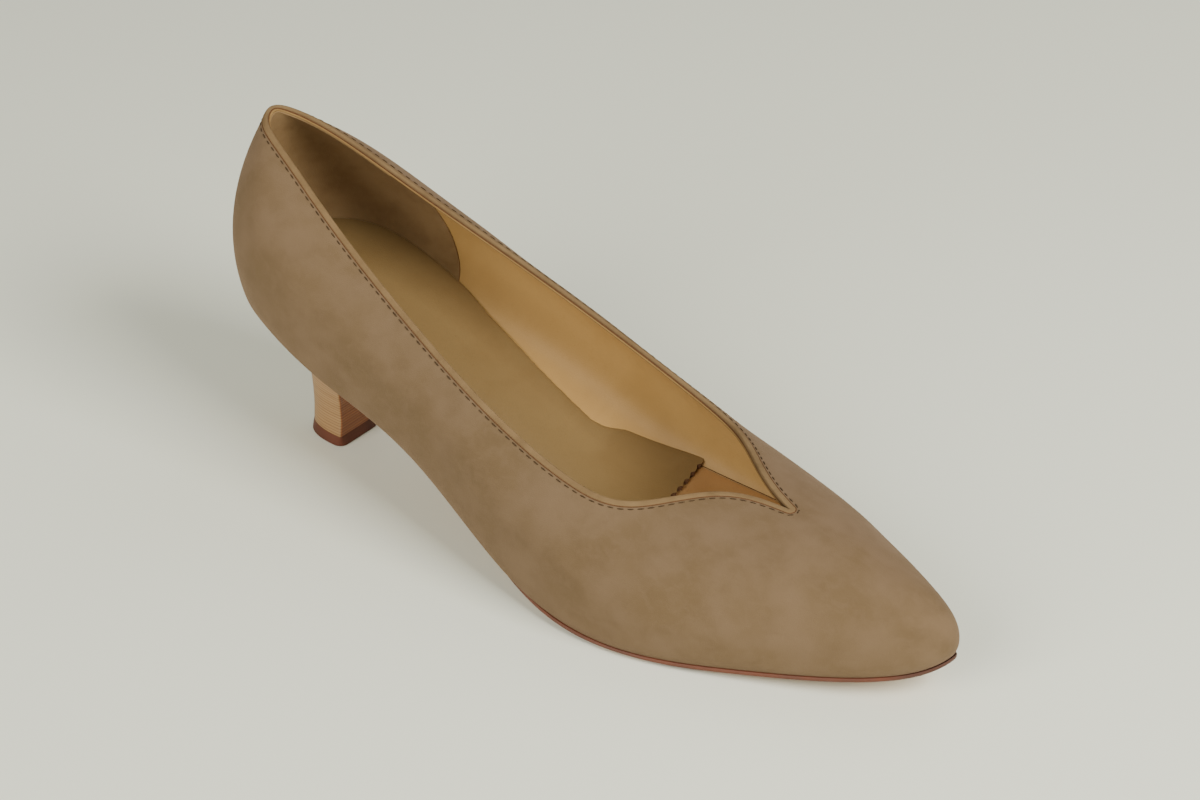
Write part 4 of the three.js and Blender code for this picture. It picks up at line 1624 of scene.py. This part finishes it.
@dataclass
class Underpart:
    """Sole, heel and top lift."""

    last: Last
    sole: float = 2.2 * MM
    gap: float = 0.3 * MM
    sole_edge: float = 0.6 * MM
    waist_inset: float = 2.4 * MM
    waist_from: float = 0.38
    waist_to: float = 0.6
    seat_length: float = 53 * MM
    heel_inset: float = 0.5 * MM
    lift: float = 3.5 * MM
    tip_length: float = 15.6 * MM
    tip_width: float = 16.4 * MM
    tip_breast: float = 39.4 * MM
    tip_shift: float = -2.7 * MM
    corner: float = 2.6 * MM
    d_power: float = 2.4
    corner_at: float = 0.75
    sole_tuck: float = 2.3 * MM
    sole_shoulder: float = 0.15 * MM
    overlap: float = 0.03 * MM
    heel_corner: float = 0.8 * MM
    underside: float = -0.9
    shaded_breast_facing: float = 0.75
    columns: int = 260

    def along_side(self, t: Array) -> Array:
        """Share of the way back from the front corner."""
        return np.cos(np.minimum(1, t / self.corner_at) * CROWN)

    def corner_turn(self, t: Array) -> Array:
        """Angle turned round the front corner."""
        return np.maximum(0, (t - self.corner_at) / (1 - self.corner_at)) * CROWN

    def tip_point(self, t: Array, side: Side, pinch: float, corner: float, grow: float = 0.0) -> Array:
        """Points of the heel's outline at its foot.

        Args:
            t: Places from the back (0) to the breast (1).
            side: Which side.
            pinch: Share of the half width that is lost.
            corner: Radius of the front corner.
            grow: Distance added all round.

        Returns:
            Points at no height.
        """
        back, turn = self.along_side(t), self.corner_turn(t)
        fullness = np.maximum(0, 1 - back**self.d_power) ** (1 / self.d_power)
        half = (self.tip_width / 2 * (1 - pinch) + grow) * fullness
        front = self.tip_breast + grow - corner
        x = front - (self.tip_length + 2 * grow - corner) * back + corner * np.sin(turn)
        y = self.tip_shift + side.value * (half - corner * (1 - np.cos(turn)))
        return np.stack([x, y, np.zeros_like(x)], axis=-1) + self.last.place

    def seat_point(self, t: Array, side: Side, corner: float) -> Array:
        """Points of the heel's outline under the seat.

        Args:
            t: Places from the back (0) to the breast (1).
            side: Which side.
            corner: Radius of the front corner.

        Returns:
            Points at the feather edge's height.
        """
        turn = self.corner_turn(t)
        x = (self.seat_length - corner) * (1 - self.along_side(t)) + corner * np.sin(turn)
        out = -self.heel_inset - corner * (1 - np.cos(turn))
        u = station_of(x / self.last.length)
        return self.last.feather_plan(u, side, out)

    def build_sole(self) -> None:
        """Builds the sole with a rounded edge and dresses edge and underside."""
        start = float(station_of((self.seat_length + 2 * self.gap) / self.last.length))
        u = np.linspace(start, 1.0, self.columns)
        waist = smoothstep(share_of(u), self.waist_from, self.waist_to)
        reach = -self.waist_inset + (self.sole_edge + self.waist_inset) * waist
        top = self.last.feather_height(u) - self.overlap
        under = np.maximum(0, self.last.feather_height(u) - self.gap - self.sole)
        steps = np.linspace(0, 1, 13)
        tuck = self.sole_tuck * smoothstep(steps, 0.36, 1.12)
        bulge = -tuck - self.sole_shoulder * (1 - smoothstep(steps, 0, 0.15))
        surface = Surface()
        rims = {}
        for side in BOTH_SIDES:
            rim = []
            for step, out in zip(steps, bulge):
                p = self.last.feather_plan(u, side, reach + out)
                p[..., 2] = top + (under - top) * step
                rim.append(p)
            rims[side] = np.stack(rim)
            surface.grid(rims[side], side is Side.LATERAL)
        t = np.linspace(0, 1, 25)[:, None, None]
        for level, flip in ((0, True), (-1, False)):
            lateral, medial = rims[Side.LATERAL][level], rims[Side.MEDIAL][level]
            surface.grid(lateral[None] * (1 - t) + medial[None] * t, flip)
        lateral, medial = rims[Side.LATERAL][:, 0], rims[Side.MEDIAL][:, 0]
        surface.grid(lateral[None] * (1 - t) + medial[None] * t)
        piece = surface.build("leather_sole", angle=50)
        dress(piece, SOLE_EDGE.material(), "sole_leather", "outsole")
        piece.data.materials.append(SOLE_UNDER.material())
        for face in piece.data.polygons:
            if face.normal.z < self.underside:
                face.material_index = 1

    def build_heel(self) -> None:
        """Builds the waisted block."""
        foot = self.lift + 0.05 * MM
        ups = np.linspace(0, 1, 70)
        heights = [row.up for row in HEEL_LEVELS]
        curves = [Spline(heights, [row[k] for row in HEEL_LEVELS], k == 3, False) for k in (1, 2, 3)]
        corner = self.heel_corner
        t = np.linspace(0, 1, 80)
        surface = Surface()
        sides = {}
        for side in BOTH_SIDES:
            high = self.seat_point(t, side, corner)
            rows = []
            for up in ups:
                seat, breast, pinch = (float(curve(up)) for curve in curves)
                low = self.tip_point(t, side, pinch, corner)
                p = low + (high - low) * seat
                p[:, 0] += (breast - seat) * (high[:, 0] - low[:, 0]) * t**3
                shares = (high[:, 0] - self.last.place[0]) / self.last.length
                ceiling = self.last.feather_height(station_of(shares)) - self.overlap
                p[:, 2] = foot + up * (ceiling - foot)
                rows.append(p)
            sides[side] = np.stack(rows)
            surface.grid(sides[side], side is Side.LATERAL)
        lateral, medial = sides[Side.LATERAL], sides[Side.MEDIAL]
        s = np.linspace(0, 1, 17)[:, None, None]
        breast_face = lateral[None, :, -1] * (1 - s) + medial[None, :, -1] * s
        surface.grid(breast_face, False)
        for level, flip in ((0, True), (-1, False)):
            surface.grid(lateral[None, level] * (1 - s) + medial[None, level] * s, flip)
        piece = surface.build("stacked_heel", angle=40)
        dress(piece, STACK.material(), "stacked_leather", "heel")
        # Faces turned to the toe take the darker breast copy: painted shade on the heel's breast.
        piece.data.materials.append(SHADED_BREAST.material())
        for face in piece.data.polygons:
            if face.normal.x > self.shaded_breast_facing:
                face.material_index = 1

    def build_lift(self) -> None:
        """Builds the tread piece, whose front corners are cut back towards the floor."""
        t = np.linspace(0, 1, 80)
        surface = Surface()
        # Height, radius of the front corners and growth all round
        levels = (
            (0.0, 2.8 * MM, 0.25 * MM),
            (0.25 * MM, 2.7 * MM, 0.5 * MM),
            (2.0 * MM, 1.7 * MM, 0.3 * MM),
            (self.lift, self.heel_corner, 0.05 * MM),
        )
        sides = {}
        for side in BOTH_SIDES:
            rows = []
            for height, corner, grow in levels:
                p = self.tip_point(t, side, 0.0, corner, grow)
                p[:, 2] = height
                rows.append(p)
            sides[side] = np.stack(rows)
            surface.grid(sides[side], side is Side.LATERAL)
        lateral, medial = sides[Side.LATERAL], sides[Side.MEDIAL]
        s = np.linspace(0, 1, 9)[:, None, None]
        surface.grid(lateral[None, :, -1] * (1 - s) + medial[None, :, -1] * s, False)
        for level, flip in ((0, True), (-1, False)):
            surface.grid(lateral[None, level] * (1 - s) + medial[None, level] * s, flip)
        piece = surface.build("tread_lift", angle=40)
        dress(piece, LIFT.material(), "lift_rubber", "top_lift")

    def build(self) -> None:
        """Builds all three."""
        self.build_sole()
        self.build_heel()
        self.build_lift()


# Studio


class SoftBox(NamedTuple):
    """A square soft light aimed at the shoe."""

    name: str
    place: tuple[float, float, float]
    size: float
    watts: float
    tint: Colour


SOFT_BOXES = (
    SoftBox("key_softbox", (1.08, -0.08, 0.9), 0.75, 28.0, (1.0, 0.985, 0.96)),
    SoftBox("fill_softbox", (-0.05, -1.3, 0.78), 1.0, 22.0, (1.0, 0.99, 0.96)),
    SoftBox("back_softbox", (0.1, 1.1, 1.2), 1.0, 4.0, (0.98, 0.99, 1.0)),
)


@dataclass
class Studio:
    """Floor, lights and the camera of the photograph."""

    azimuth: float = 37.79
    elevation: float = 30.95
    distance: float = 910.45 * MM
    target: tuple[float, float, float] = (0.0, 0.0, 40 * MM)
    aside: tuple[float, float] = (-17.5 * MM, -32.7 * MM)
    image: tuple[float, float] = (1200.0, 800.0)
    focal_px: float = 1666.7
    middle_px: tuple[float, float] = (575.0, 452.0)
    closer: float = 1.95
    sensor: float = 36.0
    nearest: float = 0.01
    floor_half: float = 3.0
    floor_drop: float = 0.02 * MM
    sky: Colour = (0.95, 0.92, 0.8)
    sky_strength: float = 0.27

    def add_camera(self, place: Array) -> None:
        """Stands the camera where the photograph's was and aims it at the shoe.

        Args:
            place: The last's place in the row frame.
        """
        az, el = math.radians(self.azimuth), math.radians(self.elevation)
        back = Vector((math.sin(az) * math.cos(el), -math.cos(az) * math.cos(el), math.sin(el)))
        right = Vector((math.cos(az), math.sin(az), 0))
        up = back.cross(right)
        target = Vector(self.target) + Vector((0, float(place[1]), 0))
        spot = target + back * self.distance - right * self.aside[0] - up * self.aside[1]
        px = (self.middle_px[0] - self.image[0] / 2) / self.focal_px
        py = (self.image[1] / 2 - self.middle_px[1]) / self.focal_px
        ahead = (-back + right * px + up * py).normalized()
        side = ahead.cross(up).normalized()
        top = side.cross(ahead)
        data = bpy.data.cameras.new("camera")
        data.sensor_width = self.sensor
        data.lens = self.focal_px / self.image[0] * data.sensor_width * self.closer
        data.clip_start = self.nearest
        camera = bpy.data.objects.new("camera", data)
        turn = Matrix((side, top, -ahead)).transposed().to_4x4()
        camera.matrix_world = Matrix.Translation(spot) @ turn
        bpy.context.scene.collection.objects.link(camera)
        bpy.context.scene.camera = camera

    def add_light(self, box: SoftBox) -> None:
        """Adds a soft square light aimed at the shoe.

        Args:
            box: The light.
        """
        data = bpy.data.lights.new(box.name, "AREA")
        data.shape = "SQUARE"
        data.size = box.size
        data.energy = box.watts
        data.color = box.tint
        lamp = bpy.data.objects.new(box.name, data)
        way = Vector(self.target) - Vector(box.place)
        turn = way.to_track_quat("-Z", "Y").to_matrix().to_4x4()
        lamp.matrix_world = Matrix.Translation(box.place) @ turn
        bpy.context.scene.collection.objects.link(lamp)

    def add_floor(self) -> None:
        """Lays the pale floor."""
        surface = Surface()
        line = np.linspace(-self.floor_half, self.floor_half, 13)
        x, y = np.meshgrid(line, line, indexing="ij")
        surface.grid(np.stack([x, y, np.full_like(x, -self.floor_drop)], axis=-1))
        floor = surface.build("studio_floor")
        if floor.data.polygons[0].normal.z < 0:
            floor.data.flip_normals()
        floor.data.materials.append(PAPER.material())

    def build(self, place: Array) -> None:
        """Builds the studio.

        Args:
            place: The last's place in the row frame.
        """
        self.add_camera(place)
        self.add_floor()
        for box in SOFT_BOXES:
            self.add_light(box)
        world = bpy.data.worlds.new("studio_world")
        world.use_nodes = True
        backdrop = world.node_tree.nodes["Background"]
        backdrop.inputs["Color"].default_value = (*self.sky, 1.0)
        backdrop.inputs["Strength"].default_value = self.sky_strength
        bpy.context.scene.world = world


def place_last(last: Last) -> None:
    """Moves the last to where the frame's upper stands.

    Args:
        last: The last, at its own origin.
    """
    low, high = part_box("upper")
    u = np.linspace(0, 1, 200)
    ends = []
    for side in BOTH_SIDES:
        rows = [last.point(u, side, np.full_like(u, v))[:, 1] for v in (-0.5, -0.2, 0.0)]
        ends.append(np.concatenate(rows))
    middle = 0.5 * (np.min(ends[0]) + np.max(ends[1]))
    last.place = np.array([low.x, (low.y + high.y) / 2 - middle, 0.0])


def main() -> None:
    """Builds the shoe in order."""
    logging.basicConfig(level=logging.INFO, format="%(message)s")
    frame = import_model()
    log.info("frame with %d nodes", len(frame["nodes"]))
    last = Last()
    place_last(last)
    line = TopLine(last)
    Studio().build(last.place)
    Walls(last, line).build()
    Edging(line).build()
    Footbed(last).build()
    Underpart(last).build()


if __name__ == "__main__":
    main()
